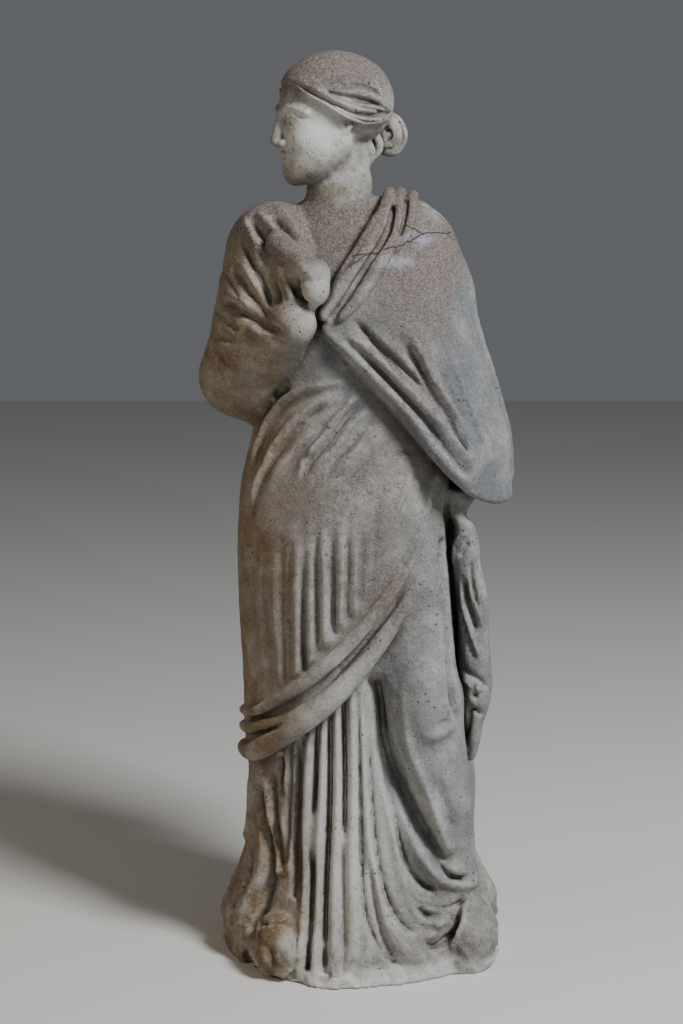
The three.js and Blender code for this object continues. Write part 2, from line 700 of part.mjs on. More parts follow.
const tuck = { width: 5.5, height: -4.6, fade: [0.15, 0.3], power: 1.6 };
tail.carve(
  [[110, 456], [118, 467], [125, 474]],
  { width: 5.5, height: -5.5, fade: [0.2, 0.2], power: 1.6 },
);
tail.carve([[127, 455], [128, 433], [132, 411], [137, 391]], tuck);
tail.carve([[117, 436], [119, 416], [124, 399], [130, 382], [132, 368]], tuck);
tail.carve(
  [[112, 339], [120, 329], [131, 323], [140, 317], [147, 307]],
  { width: 5.5, height: -5.1, fade: [0.15, 0.15], power: 1.6 },
);
tail.carve(
  [[125, 295], [123, 268], [119, 249]],
  { width: 5.5, height: -3.1, fade: [0.2, 0.2], power: 1.6 },
);
tail.carve([[116, 322], [124, 314], [136, 306]], { width: 5.5, height: 2.1, fade: [0.3, 0.2] });

// ---------------------------------------------------------------------------------------------
// The cape: the left side of the mantle, over the shoulder and the bent arm. Its edge is one
// long slant across the body, from the right hand down to the left elbow.

const shoulderFall = loft([
  [480, 60, 6, 116, 88, 84],
  [520, 60, 6, 114, 90, 84],
  [578, 55, 6, 114, 95, 86],
  [640, 47, 6, 105, 98, 86],
  [705, 37, 6, 93, 94, 84],
  [745, 32, 8, 90, 86, 82],
  [774, 30, 8, 86, 77, 76],
  [800, 28, 8, 81, 65, 68],
  [820, 24, 8, 74, 54, 60],
  [838, 22, 8, 54, 42, 50],
  [852, 20, 8, 30, 26, 34],
]);
// height of the slanting edge across the front, from the figure's right to its left
const slantAt = course([
  [-200, 850],
  [-52, 711],
  [-31, 694],
  [-10, 672],
  [11, 648],
  [32, 626],
  [55, 598],
  [85, 564],
  [116, 531],
  [138, 517],
  [158, 512],
  [220, 512],
]);
const lowerArm = limb([96, -60, 560], 34, [132, -12, 575], 30);
const capeBed = (x, y, z) => {
  const cloth = join(join(shoulderFall(x, y, z), wrap(x, y, z) - 9, 16), lowerArm(x, y, z), 24);
  return meet(cloth, z - 848, 14);
};
const cape = new Layer((x, y, z) => {
  const back = ease(-10, 40, y);
  const below = mix((slantAt(x)[0] - z) * 0.7, 512 - z, back);
  const inner = mix((-46 - x + (z - 700) * 0.52) * 0.9, 30 - x, back);
  return meet(meet(capeBed(x, y, z), below, 7), inner, mix(10, 40, back));
}, capeBed);

const furl = { width: 5.5, height: [4.8, 4.5], fade: [0.1, 0.15] };
cape.carve(
  [[-31, 700], [-10, 684], [11, 664], [27, 647], [43, 630], [59, 611], [74, 590], [90, 571], [106, 553],
   [127, 535]],
  { width: [5.5, 6], height: [5.4, 6], fade: [0.08, 0.15] },
);
cape.carve(
  [[-10, 696], [22, 664], [43, 642], [64, 620], [81, 599], [95, 579], [111, 559], [129, 544]],
  { width: 5.5, height: [-3.6, -4.3], fade: [0.15, 0.15], power: 1.6 },
);
cape.carve(
  [[-17, 704], [6, 690], [27, 670], [48, 649], [66, 630], [85, 610], [102, 589], [116, 571], [133, 553]],
  furl,
);
cape.carve(
  [[-6, 718], [16, 698], [32, 684], [48, 668], [64, 651], [81, 631], [96, 612]],
  { width: 5.5, height: [-4.6, -3.1], fade: [0.1, 0.3], power: 1.6 },
);
cape.carve(
  [[6, 714], [27, 694], [43, 680], [57, 665], [70, 649], [86, 629], [102, 607], [118, 583]],
  { width: 5.5, height: [4.5, 3.6], fade: [0.15, 0.2] },
);
cape.carve(
  [[40, 708], [54, 684], [65, 667], [75, 647], [86, 630], [98, 613], [108, 597], [119, 582], [127, 570]],
  { width: 5.5, height: [-4.9, -8.5], fade: [0.2, 0.12], power: 1.6 },
);
cape.carve(
  [[42, 720], [56, 700], [66, 683], [76, 663], [88, 643], [100, 626], [110, 611], [122, 594]],
  { width: 5.5, height: [5.4, 4.2], fade: [0.25, 0.25] },
);
cape.carve(
  [[80, 680], [92, 654], [102, 632], [112, 613], [122, 596]],
  { width: 5.5, height: -3.5, fade: [0.3, 0.25], power: 1.6 },
);
cape.carve(
  [[84, 705], [100, 675], [109, 652], [118, 631], [126, 611], [134, 587], [143, 567]],
  { width: 5.5, height: 2.4, fade: [0.3, 0.2] },
);
cape.carve([[112, 668], [122, 648], [128, 622]], { width: 7, height: -3, fade: [0.3, 0.3] });
cape.carve([[60, 772], [72, 730], [84, 700]], { width: 10, height: 2, fade: [0.3, 0.3] });
const hanging = [[[92, 800], [94, 700], [98, 520]], [[170, 800], [160, 700], [156, 520]]];
cape.pleats(...hanging, 5, { width: 9, height: 6, fade: [0.3, 0.05], place: "around" });
const parting = [[[102, 780], [104, 690], [106, 516]], [[162, 780], [154, 690], [150, 516]]];
cape.pleats(...parting, 4, { width: 6, height: -7, fade: [0.3, 0.05], place: "around" });

// ---------------------------------------------------------------------------------------------
// The bunch: the mantle's other edge, gathered into rolls that come over the left shoulder and
// run down to the hand. Each has points [x, y] on top of the shoulder, then a line down the front.

function bunchRoll(line, thick, over) {
  const down = new THREE.Vector3(0, 0, -1);
  const seats = over.map(([x, y]) => cape.drop(new THREE.Vector3(x, y, 900), down));
  seats.push(...line.map(([x, z]) => cape.facing(x, z)));
  return chain(cape.beadsOver(seats, thick, 0.35));
}

const innerLine = [[32, 838], [28, 827], [19, 810], [6, 787], [-10, 764], [-24, 740], [-35, 722]];
const outerLine = [[44, 838], [43, 825], [38, 804], [26, 780], [12, 757], [-2, 737], [-16, 721]];
const thirdLine = [[58, 838], [57, 824], [52, 806], [42, 788]];
const innerRoll = bunchRoll(innerLine, [3, 6, 7, 8, 10, 10, 10, 9, 7], [[38, 40], [36, 12]]);
const outerRoll = bunchRoll(outerLine, [3, 6, 6, 6, 8, 9, 9, 8, 6], [[50, 38], [48, 12]]);
const thirdRoll = bunchRoll(thirdLine, [3, 6, 6, 6, 5, 3], [[62, 34], [61, 10]]);
const bunch = new Layer(blend(4, innerRoll, outerRoll, thirdRoll), capeBed);

bunch.carve(
  [[38, 838], [34, 810], [26, 793], [13, 776], [2, 759], [-11, 740], [-21, 726], [-30, 714]],
  { width: 5.5, height: -4.1, fade: [0.1, 0.1], power: 1.6 },
);

// ---------------------------------------------------------------------------------------------
// The sleeve: the right arm, bent up inside the mantle. Thick folds are drawn from the shoulder
// into the hand and thin ones run down the upper arm; a broad web crosses the back.

const elbow = [-129, -22, 651];
const arm = blend(16, limb([-95, 2, 783], 49, elbow, 40), limb(elbow, 40, [-68, -90, 712], 25));
const overArm = limb([-92, -30, 744], 44, [-106, -42, 690], 38);
const drawnEdge = limb([-87, -8, 803], 36, [-62, -74, 766], 20);
const yoke = limb([-50, 14, 796], 42, [-82, 18, 640], 42);
const flap = limb([-128, 2, 646], 26, [-100, -6, 612], 22);
const armCloth = blend(12, overArm, drawnEdge, yoke, flap);
const sleeveForm = (x, y, z) => join(arm(x, y, z), armCloth(x, y, z), 24);
const sleeve = new Layer(sleeveForm, (x, y, z) => Math.min(sleeveForm(x, y, z), wrap(x, y, z)));

sleeve.carve(
  [[-124, 824], [-118, 818], [-110, 803], [-98, 790], [-84, 776]],
  { width: 5.5, height: [3.6, 6.3], fade: [0.25, 0.15] },
);
sleeve.carve(
  [[-107, 830], [-102, 824], [-89, 810], [-75, 797], [-62, 786]],
  { width: 5.5, height: [2.8, 6.3], fade: [0.2, 0.15] },
);
sleeve.carve(
  [[-88, 838], [-80, 828], [-70, 816], [-56, 802], [-40, 788]],
  { width: 5.5, height: [2.8, 4.9], fade: [0.2, 0.2] },
);
sleeve.carve(
  [[-116, 820], [-101, 800], [-85, 780]],
  { width: 5.5, height: [-6.3, -10.4], fade: [0.2, 0.2], power: 1.7 },
);
sleeve.carve(
  [[-94, 829], [-76, 809], [-61, 792]],
  { width: [5.5, 6], height: [-6.3, -11.4], fade: [0.2, 0.2], power: 1.7 },
);
const thin = { height: -6, fade: [0.25, 0.15], power: 1.5 };
sleeve.carve([[-126, 803], [-117, 783], [-106, 763], [-98, 744], [-90, 728]], { ...thin, width: 5.5 });
sleeve.carve([[-106, 776], [-98, 753], [-90, 736]], { ...thin, width: 5.5 });
sleeve.carve([[-137, 773], [-122, 755], [-108, 736], [-92, 717]], { ...thin, width: 5.5 });
sleeve.carve([[-112, 800], [-106, 780], [-98, 762]], { width: 5.5, height: 2.1, fade: [0.3, 0.3] });
sleeve.carve([[-128, 780], [-112, 758], [-98, 736]], { width: 5.5, height: 2.8, fade: [0.3, 0.3] });
sleeve.carve([[-140, 756], [-124, 740], [-108, 722]], { width: 5.5, height: 2.8, fade: [0.3, 0.3] });
sleeve.carve(
  [[-153, 736], [-135, 730], [-119, 722], [-104, 715], [-89, 708], [-70, 703]],
  { width: 5.5, height: [-5.6, -10.4], fade: [0.15, 0.2], power: 1.6 },
);
sleeve.carve(
  [[-150, 744], [-134, 740], [-118, 732], [-102, 725]],
  { width: 5.5, height: 2.7, fade: [0.3, 0.3] },
);
sleeve.carve(
  [[-158, 695], [-148, 697], [-137, 695], [-126, 691]],
  { width: 5.5, height: [-8.1, -2.6], fade: [0.2, 0.4], power: 1.6 },
);
sleeve.carve(
  [[-104, 702], [-85, 696], [-70, 694]],
  { width: 5.5, height: -2.1, fade: [0.3, 0.3], power: 1.5 },
);
sleeve.carve([[-120, 712], [-102, 702], [-84, 698]], { width: 5.5, height: 3.6, fade: [0.3, 0.3] });
const outerArm = [[[-112, 800], [-118, 740], [-124, 680]], [[-140, 800], [-146, 740], [-146, 680]]];
sleeve.pleats(...outerArm, 3, { width: 8, height: 5, fade: [0.3, 0.3], place: "around" });

// ---------------------------------------------------------------------------------------------
// The right hand: a loose, worn fist at the breast, with a fold of the sleeve round the wrist.

const fist = blend(
  10,
  ball([-55, -96, 771], [12, 15, 12]),
  ball([-42, -98, 768], [13, 15, 13]),
  ball([-44, -101, 752], [15, 16, 16]),
  ball([-47, -97, 742], [12, 13, 10]),
  limb([-84, -60, 796], 14, [-62, -84, 778], 12),
);
const cuff = chain([
  [-79, -84, 770, 6],
  [-76, -90, 752, 7],
  [-69, -93, 738, 9],
  [-65, -90, 722, 13],
  [-66, -86, 706, 15],
  [-72, -78, 692, 17],
]);
const wrist = limb([-56, -90, 732], 14, [-70, -84, 706], 20);
const hand = new Layer(blend(6, fist, cuff, wrist));

hand.carve(
  [[-74, 771], [-68, 758], [-63, 746], [-58, 736], [-48, 731]],
  { width: 5.5, height: [-6.1, -4.9], fade: [0.1, 0.15], power: 1.7 },
);
hand.carve([[-60, 762], [-47, 758], [-34, 761]], { width: 5.5, height: -0.8, fade: [0.3, 0.3] });

// ---------------------------------------------------------------------------------------------
// Neck and head, turned to the figure's right. The head is worked in its own directions:
// forward, sideways and up from the middle of the skull, the same on its left and its right.

const SKULL = new THREE.Vector3(-27, 0, 935);
const TURN = THREE.MathUtils.degToRad(68);
const toFront = new THREE.Vector3(-Math.sin(TURN), -Math.cos(TURN), 0);
const toLeft = new THREE.Vector3(Math.cos(TURN), -Math.sin(TURN), 0);
const inHead = (form) => (x, y, z) => {
  const px = x - SKULL.x;
  const py = y - SKULL.y;
  return form(px * toFront.x + py * toFront.y, Math.abs(px * toLeft.x + py * toLeft.y), z - SKULL.z);
};

const neck = new Layer(
  blend(20, limb([-19, 6, 850], 31, [-18, 8, 890], 31), limb([-20, 8, 806], 47, [-19, 6, 850], 31)),
);

// The face is calm and of ordinary proportions: hollows that are cut away, then what is added.
const skullMass = ball([-4, 0, 12], [62, 50, 50]);
const faceMasses = [
  [ball([20, 0, -26], [38, 37, 50]), 14], // front of the head
  [ball([12, 0, -46], [38, 34, 30]), 10], // jaw
  [limb([38, 10, -60], 11, [4, 34, -34], 12), 12],
  [ball([30, 20, -28], [20, 15, 18]), 10], // cheek
  [ball([43, 0, -67], [12, 14, 11]), 8], // chin
];
const socket = ball([60, 18, -9], [12, 14, 9]);
const features = [
  [ball([42, 18, -9], [12, 12, 10]), 2], // eye
  [chain([[58, 6, 0, 3], [57, 14, 4, 3], [52, 24, 4, 3], [44, 34, -1, 3]]), 7], // brow
  [limb([57, 0, 0], 4.5, [66, 0, -29], 5), 5], // nose
  [ball([65, 0, -31], [6, 5.5, 5]), 3],
  [ball([59, 6.5, -33], [6, 4, 4.5]), 2], // nostril
  [chain([[57.5, 0, -44, 2.6], [56.5, 5, -44.5, 2.6], [52, 12, -47, 1.6]]), 3], // lips
  [chain([[56, 0, -51, 3.2], [55, 5, -50.5, 3], [51, 11, -48.5, 1.6]]), 3],
];
const face = new Layer(
  inHead((f, l, u) => {
    const add = (d, [form, soft]) => join(d, form(f, l, u), soft);
    const hollowed = meet(faceMasses.reduce(add, skullMass(f, l, u)), -socket(f, l, u), 7);
    return features.reduce(add, hollowed);
  }),
);

// ---------------------------------------------------------------------------------------------
// The hair: a smooth cap on the crown, and wavy locks drawn back from the temples over the ears
// and looped into a small knot at the nape, with loose curls below.

const cap = ball([-4, 0, 13], [65, 53, 53]);
const capBed = inHead(cap);
const hair = new Layer(inHead((f, l, u) => meet(cap(f, l, u), (0.69 * f - 7 - u) / 1.2, 5)), capBed);

// a lock given on the left side of the head, with its like on the right side
function lock(line, thick, sunk) {
  const seats = line.map(([x, z]) => hair.facing(x, z));
  const beads = hair.beadsOver(seats, thick, sunk).map(([x, y, z, radius]) => {
    const p = new THREE.Vector3(x, y, z).sub(SKULL);
    return [p.dot(toFront), Math.abs(p.dot(toLeft)), p.z, radius];
  });
  return inHead(chain(beads));
}

const locks = [
  lock([
    [-66, 962], [-56, 955], [-40, 946], [-24, 938], [-10, 931], [9, 927], [29, 929],
], [1, 2, 3, 4, 5, 6, 5], 0.4),
  lock([[-58, 962], [-42, 955], [-22, 947], [-7, 941], [14, 939], [32, 940]], [1, 2.5, 3.5, 4, 5, 4], 0.35),
  lock([[-44, 960], [-22, 956], [3, 954], [20, 949], [33, 940]], [1.5, 3, 5, 5, 4], 0.35),
  lock([[-26, 961], [-14, 966], [6, 966], [24, 957], [34, 945]], [1.5, 2.5, 3.5, 3.5, 3], 0.4),
];
const hairRoll = new Layer(blend(2.5, ...locks), capBed);

const loop = chain([
  [36, 34, 936, 5],
  [46, 36, 924, 6],
  [48, 38, 908, 6],
  [38, 36, 896, 6],
  [29, 34, 903, 6],
  [30, 34, 920, 6],
]);
const insideLoop = chain([
  [34, 28, 928, 6],
  [40, 30, 914, 7],
  [34, 28, 903, 6],
]);
const knot = new Layer(blend(2, loop, insideLoop, ball([30, 44, 915], [17, 17, 20])));
const curls = chain([
  [15, 14, 916, 5],
  [21, 18, 908, 6],
  [23, 20, 898, 6],
  [18, 18, 890, 5],
]);
const napeCurl = chain([
  [8, 0, 906, 5],
  [13, 4, 898, 6],
  [15, 6, 888, 5],
  [10, 4, 880, 4],
]);
const nape = new Layer(blend(2, curls, napeCurl));

// ---------------------------------------------------------------------------------------------
// The whole figure, before it is turned into a mesh.

const draped = [plinth, chiton, foot, mantle, hemRoll, tail, cape, bunch, sleeve, hand];
const bare = [neck, face, hair, hairRoll, knot, nape];
const layers = [...draped, ...bare];
const statueAt = (x, y, z) => {
  let d = FAR;
  for (const layer of layers) d = join(d, layer.distance(x, y, z), 3);
  return Math.max(d, -z);
};

// ---------------------------------------------------------------------------------------------
// From the form to a closed mesh. A lattice that narrows towards the head is cut into
// tetrahedra, and the surface inside each of them is one or two triangles.

const half = Math.ceil(192 / CELL);
const side = 2 * half + 1;
const narrowing = (z) => ease(790, 870, z);
const spacing = (z) => CELL * mix(1, 0.5, narrowing(z));
const floors = [];
for (let z = -CELL / 2; z < HEIGHT + CELL; z += spacing(z)) floors.push(z);

function nodeAt(n) {
  const z = floors[Math.floor(n / (side * side))];
  const column = n % side;
  const row = Math.floor(n / side) % side;
  const drift = mix(0, -16, narrowing(z));
  return new THREE.Vector3(drift + (column - half) * spacing(z), (row - half) * spacing(z), z);
}

function polygonise(field) {
  const values = new Float32Array(side * side * floors.length);
  for (let n = 0; n < values.length; n++) {
    const p = nodeAt(n);
    values[n] = field(p.x, p.y, p.z) || 1e-6;
  }
  const points = [];
  const faces = [];
  const made = new Map();
  const crossing = (a, b) => {
    const key = Math.min(a, b) * values.length + Math.max(a, b);
    if (!made.has(key)) {
      points.push(nodeAt(a).lerp(nodeAt(b), values[a] / (values[a] - values[b])));
      made.set(key, points.length - 1);
    }
    return made.get(key);
  };
  const volume = (o, a, b, c) => {
    const [p, q, r, s] = [o, a, b, c].map(nodeAt);
    return q.sub(p).dot(r.sub(p).cross(s.sub(p)));
  };
  const add = (a, b, c, outward) => faces.push(outward ? [a, b, c] : [a, c, b]);
  const ring = [1, 3, 2, 6, 4, 5, 1]; // the corners round the cube's diagonal from 0 to 7
  for (let n = 0; n < values.length - side * side; n++) {
    if (n % side === side - 1 || Math.floor(n / side) % side === side - 1) continue;
    const cube = [];
    for (let c = 0; c < 8; c++) cube.push(n + (c & 1) + ((c >> 1) & 1) * side + (c >> 2) * side * side);
    const inner = cube.filter((m) => values[m] < 0).length;
    if (inner === 0 || inner === 8) continue;
    for (let t = 0; t < 6; t++) {
      const corners = [cube[0], cube[ring[t]], cube[ring[t + 1]], cube[7]];
      const inside = corners.filter((m) => values[m] < 0);
      const outside = corners.filter((m) => values[m] >= 0);
      if (inside.length === 1) {
        const [a, b, c] = outside.map((m) => crossing(inside[0], m));
        add(a, b, c, volume(inside[0], ...outside) > 0);
      } else if (inside.length === 3) {
        const [a, b, c] = inside.map((m) => crossing(outside[0], m));
        add(a, b, c, volume(outside[0], ...inside) < 0);
      } else if (inside.length === 2) {
        const [a, b] = outside.map((m) => crossing(inside[0], m));
        const [d, c] = outside.map((m) => crossing(inside[1], m));
        const outward = volume(inside[0], outside[0], outside[1], inside[1]) > 0;
        add(a, b, c, outward);
        add(a, c, d, outward);
      }
    }
  }
  return { points, faces };
}

// Moves each point to the surface of the form, and spreads the points evenly along it.
function settle({ points, faces }, field, rounds) {
  const sums = points.map(() => new THREE.Vector3());
  const counts = new Uint16Array(points.length);
  const slope = new THREE.Vector3();
  const e = 0.3;
  for (let round = 0; round < rounds; round++) {
    sums.forEach((sum) => sum.set(0, 0, 0));
    counts.fill(0);
    for (const face of faces)
      for (let c = 0; c < 3; c++) {
        sums[face[c]].add(points[face[(c + 1) % 3]]);
        counts[face[c]]++;
      }
    points.forEach((p, n) => {
      if (p.z > 1e-3) p.lerp(sums[n].divideScalar(counts[n]), 0.5);
      const d = field(p.x, p.y, p.z);
      slope.set(field(p.x + e, p.y, p.z) - d, field(p.x, p.y + e, p.z) - d, field(p.x, p.y, p.z + e) - d);
      slope.divideScalar(e);
      p.addScaledVector(slope, -THREE.MathUtils.clamp(d, -3, 3) / Math.max(slope.lengthSq(), 0.3));
    });
  }
}

// Fewer triangles: the edge whose loss changes the shape least is drawn together into a point,
// again and again, until the budget is met. A fold is never turned over or pinched shut.
function simplify({ points, faces }, budget) {
  const quadrics = points.map(() => new Float64Array(10));
  const around = points.map(() => new Set());
  const stamps = new Uint32Array(points.length);
  const [u, v, w] = [new THREE.Vector3(), new THREE.Vector3(), new THREE.Vector3()];
  const facing = (a, b, c) => u.subVectors(b, a).cross(v.subVectors(c, a));
  faces.forEach((face, f) => {
    const [a, b, c] = face.map((i) => points[i]);
    const normal = facing(a, b, c);
    const area = normal.length() || 1e-9;
    normal.divideScalar(area);
    const [x, y, z, d] = [...normal.toArray(), -normal.dot(a)];
    const plane = [x * x, x * y, x * z, x * d, y * y, y * z, y * d, z * z, z * d, d * d];
    for (const i of face) {
      around[i].add(f);
      plane.forEach((value, n) => (quadrics[i][n] += value * area));
    }
  });

  const heap = [];
  const swap = (i, j) => ([heap[i], heap[j]] = [heap[j], heap[i]]);
  const push = (entry) => {
    let i = heap.push(entry) - 1;
    while (i > 0 && heap[(i - 1) >> 1].cost > heap[i].cost) {
      swap(i, (i - 1) >> 1);
      i = (i - 1) >> 1;
    }
  };
  const pop = () => {
    const top = heap[0];
    const last = heap.pop();
    if (heap.length === 0) return top;
    heap[0] = last;
    for (let i = 0; ; ) {
      const l = 2 * i + 1;
      if (l >= heap.length) break;
      const least = l + 1 < heap.length && heap[l + 1].cost < heap[l].cost ? l + 1 : l;
      if (heap[least].cost >= heap[i].cost) break;
      swap(i, least);
      i = least;
    }
    return top;
  };

  const matrix = new THREE.Matrix3();
  const weigh = (a, b) => {
    const q = quadrics[a].map((value, n) => value + quadrics[b][n]);
    const spot = points[a].clone().lerp(points[b], 0.5);
    const pull = 0.002 * (q[0] + q[4] + q[7]) + 1e-9; // keeps the spot near the edge's middle
    matrix.set(q[0] + pull, q[1], q[2], q[1], q[4] + pull, q[5], q[2], q[5], q[7] + pull);
    w.set(pull * spot.x - q[3], pull * spot.y - q[6], pull * spot.z - q[8]);
    const best = w.applyMatrix3(matrix.invert());
    if (best.distanceTo(spot) < points[a].distanceTo(points[b])) spot.copy(best);
    const { x, y, z } = spot;
    const error =
      x * (q[0] * x + 2 * (q[1] * y + q[2] * z + q[3])) +
      y * (q[4] * y + 2 * (q[5] * z + q[6])) +
      z * (q[7] * z + 2 * q[8]) +
      q[9];
    const cost = Math.max(error, 0) + 0.02 * points[a].distanceToSquared(points[b]);
    push({ cost, a, b, spot, stamp: stamps[a] + stamps[b] });
  };
  const neighbours = (i) => {
    const found = new Set();
    for (const f of around[i]) for (const j of faces[f]) if (j !== i) found.add(j);
    return found;
  };
  const flips = (i, other, spot) => {
    for (const f of around[i]) {
      if (faces[f].includes(other)) continue;
      const before = facing(...faces[f].map((j) => points[j])).clone();
      const after = facing(...faces[f].map((j) => (j === i ? spot : points[j])));
      if (before.dot(after) < 0.3 * before.length() * after.length() || after.length() < 0.05) return true;
    }
    return false;
  };

  points.forEach((_, a) => neighbours(a).forEach((b) => b > a && weigh(a, b)));
  let left = faces.length;
  while (left > budget && heap.length > 0) {
    const { a, b, spot, stamp } = pop();
    if (!around[a].size || !around[b].size || stamp !== stamps[a] + stamps[b]) continue;
    const near = neighbours(b);
    const shared = [...neighbours(a)].filter((i) => near.has(i));
    if (shared.length !== 2 || flips(a, b, spot) || flips(b, a, spot)) continue;
    for (const f of [...around[b]]) {
      if (faces[f].includes(a)) {
        for (const i of faces[f]) around[i].delete(f);
        faces[f] = null;
        left--;
      } else {
        faces[f] = faces[f].map((i) => (i === b ? a : i));
        around[a].add(f);
      }
    }
    around[b].clear();
    points[a].copy(spot);
    quadrics[b].forEach((value, n) => (quadrics[a][n] += value));
    const ring = neighbours(a);
    stamps[a]++;
    for (const i of ring) weigh(a, i);
  }
  return { points, faces: faces.filter(Boolean) };
}

// Keeps the one connected body, drops the points it no longer uses, and stands it on its middle.
function whole({ points, faces }) {
  const body = points.map((_, n) => n);
  const root = (n) => {
    while (body[n] !== n) n = body[n] = body[body[n]];
    return n;
  };
  for (const [a, b, c] of faces) {
    body[root(a)] = root(b);
    body[root(b)] = root(c);
  }
  const sizes = new Map();
  for (const [a] of faces) sizes.set(root(a), (sizes.get(root(a)) ?? 0) + 1);
  const [main] = [...sizes].sort((a, b) => b[1] - a[1])[0];
  const kept = faces.filter(([a]) => root(a) === main);
  const used = [...new Set(kept.flat())];
  const place = new Map(used.map((n, i) => [n, i]));
  const box = new THREE.Box3().setFromPoints(used.map((n) => points[n]));
  const middle = box.getCenter(new THREE.Vector3());
  const moved = used.map((n) => {
    const { x, y, z } = points[n];
    return [x - middle.x, y - middle.y, z < 0.6 ? 0 : z];
  });
  return { points: moved, faces: kept.map((face) => face.map((n) => place.get(n))) };
}

const rough = polygonise(statueAt);
settle(rough, statueAt, 3);
const carved = whole(simplify(rough, BUDGET));

const geometry = new THREE.BufferGeometry();
geometry.setAttribute("position", new THREE.Float32BufferAttribute(carved.points.flat(), 3));
geometry.setIndex(carved.faces.flat());
geometry.computeVertexNormals();

const marble = new THREE.MeshStandardMaterial({ name: "marble", color: 0xb9b2a4, roughness: 0.85 });
const statue = new THREE.Mesh(geometry, marble);
statue.name = "statue";

const part = new THREE.Group();
part.name = "marble_statue";
part.add(statue);

export default part;
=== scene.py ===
import math

import bpy
import numpy as np
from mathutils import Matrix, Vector

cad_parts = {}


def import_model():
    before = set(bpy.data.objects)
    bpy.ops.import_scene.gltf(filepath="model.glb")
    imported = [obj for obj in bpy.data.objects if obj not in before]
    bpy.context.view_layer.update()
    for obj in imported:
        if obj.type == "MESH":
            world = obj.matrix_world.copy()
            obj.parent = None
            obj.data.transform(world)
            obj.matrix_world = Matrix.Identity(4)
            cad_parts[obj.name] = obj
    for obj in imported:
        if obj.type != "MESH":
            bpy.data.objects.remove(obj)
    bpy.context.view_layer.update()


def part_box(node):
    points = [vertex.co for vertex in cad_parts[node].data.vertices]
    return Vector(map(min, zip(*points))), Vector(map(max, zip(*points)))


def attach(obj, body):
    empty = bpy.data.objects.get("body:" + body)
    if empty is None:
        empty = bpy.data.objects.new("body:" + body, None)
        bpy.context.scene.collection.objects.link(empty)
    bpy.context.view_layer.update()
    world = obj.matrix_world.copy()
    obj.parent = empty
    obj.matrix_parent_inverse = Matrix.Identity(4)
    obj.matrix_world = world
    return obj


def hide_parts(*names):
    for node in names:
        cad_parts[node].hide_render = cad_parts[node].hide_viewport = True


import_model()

# ------------------------------------------------------------------------------------------
# The camera stands two metres off at head height, square to the front of the figure, and
# looks a little down so that the whole height of the stone fills the frame.
low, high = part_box("statue")
tall = high[2] - low[2]

eye = bpy.data.cameras.new("camera")
eye.sensor_width = 36
eye.lens = 70.35
camera = bpy.data.objects.new("camera", eye)
camera.location = (-0.019 * tall, -2.2 * tall, 0.85 * tall)
camera.rotation_euler = (math.radians(90 - 9.1), 0, 0)
bpy.context.scene.collection.objects.link(camera)
bpy.context.scene.camera = camera

# ------------------------------------------------------------------------------------------
# The plinth is the foot of the block: a low, uneven slab left under the figure, rounded at its
# rim and sawn flat underneath. The figure is one stone with it, so every mass below is a
# function of x, y, z in millimetres that is negative inside the marble, and they are joined.


def mix(a, b, t):
    return a + (b - a) * t


def ease(start, stop, value):
    t = np.clip((value - start) / (stop - start), 0, 1)
    return t * t * (3 - 2 * t)


def join(a, b, soft):
    h = np.maximum(soft - np.abs(a - b), 0) / soft
    return np.minimum(a, b) - h * h * soft / 4


def meet(a, b, soft):
    return -join(-a, -b, soft)


def blend(soft, *forms):
    def run_together(x, y, z):
        d = np.full(np.shape(x), 60.0)
        for form in forms:
            d = join(d, form(x, y, z), soft)
        return d

    return run_together


def smooth_line(points, steps):
    """A smooth curve through points, with steps stretches between one point and the next."""
    p = np.array(points, float)
    p = np.vstack([2 * p[0] - p[1], p, 2 * p[-1] - p[-2]])
    spans = len(p) - 3
    at = np.linspace(0, spans, steps * spans + 1)
    n = np.minimum(at.astype(int), spans - 1)
    t = (at - n)[:, None]
    a, b, c, d = p[n], p[n + 1], p[n + 2], p[n + 3]
    bend = (2 * a - 5 * b + 4 * c - d) * t**2 + (3 * b - a - 3 * c + d) * t**3
    return 0.5 * (2 * b + (c - a) * t + bend)


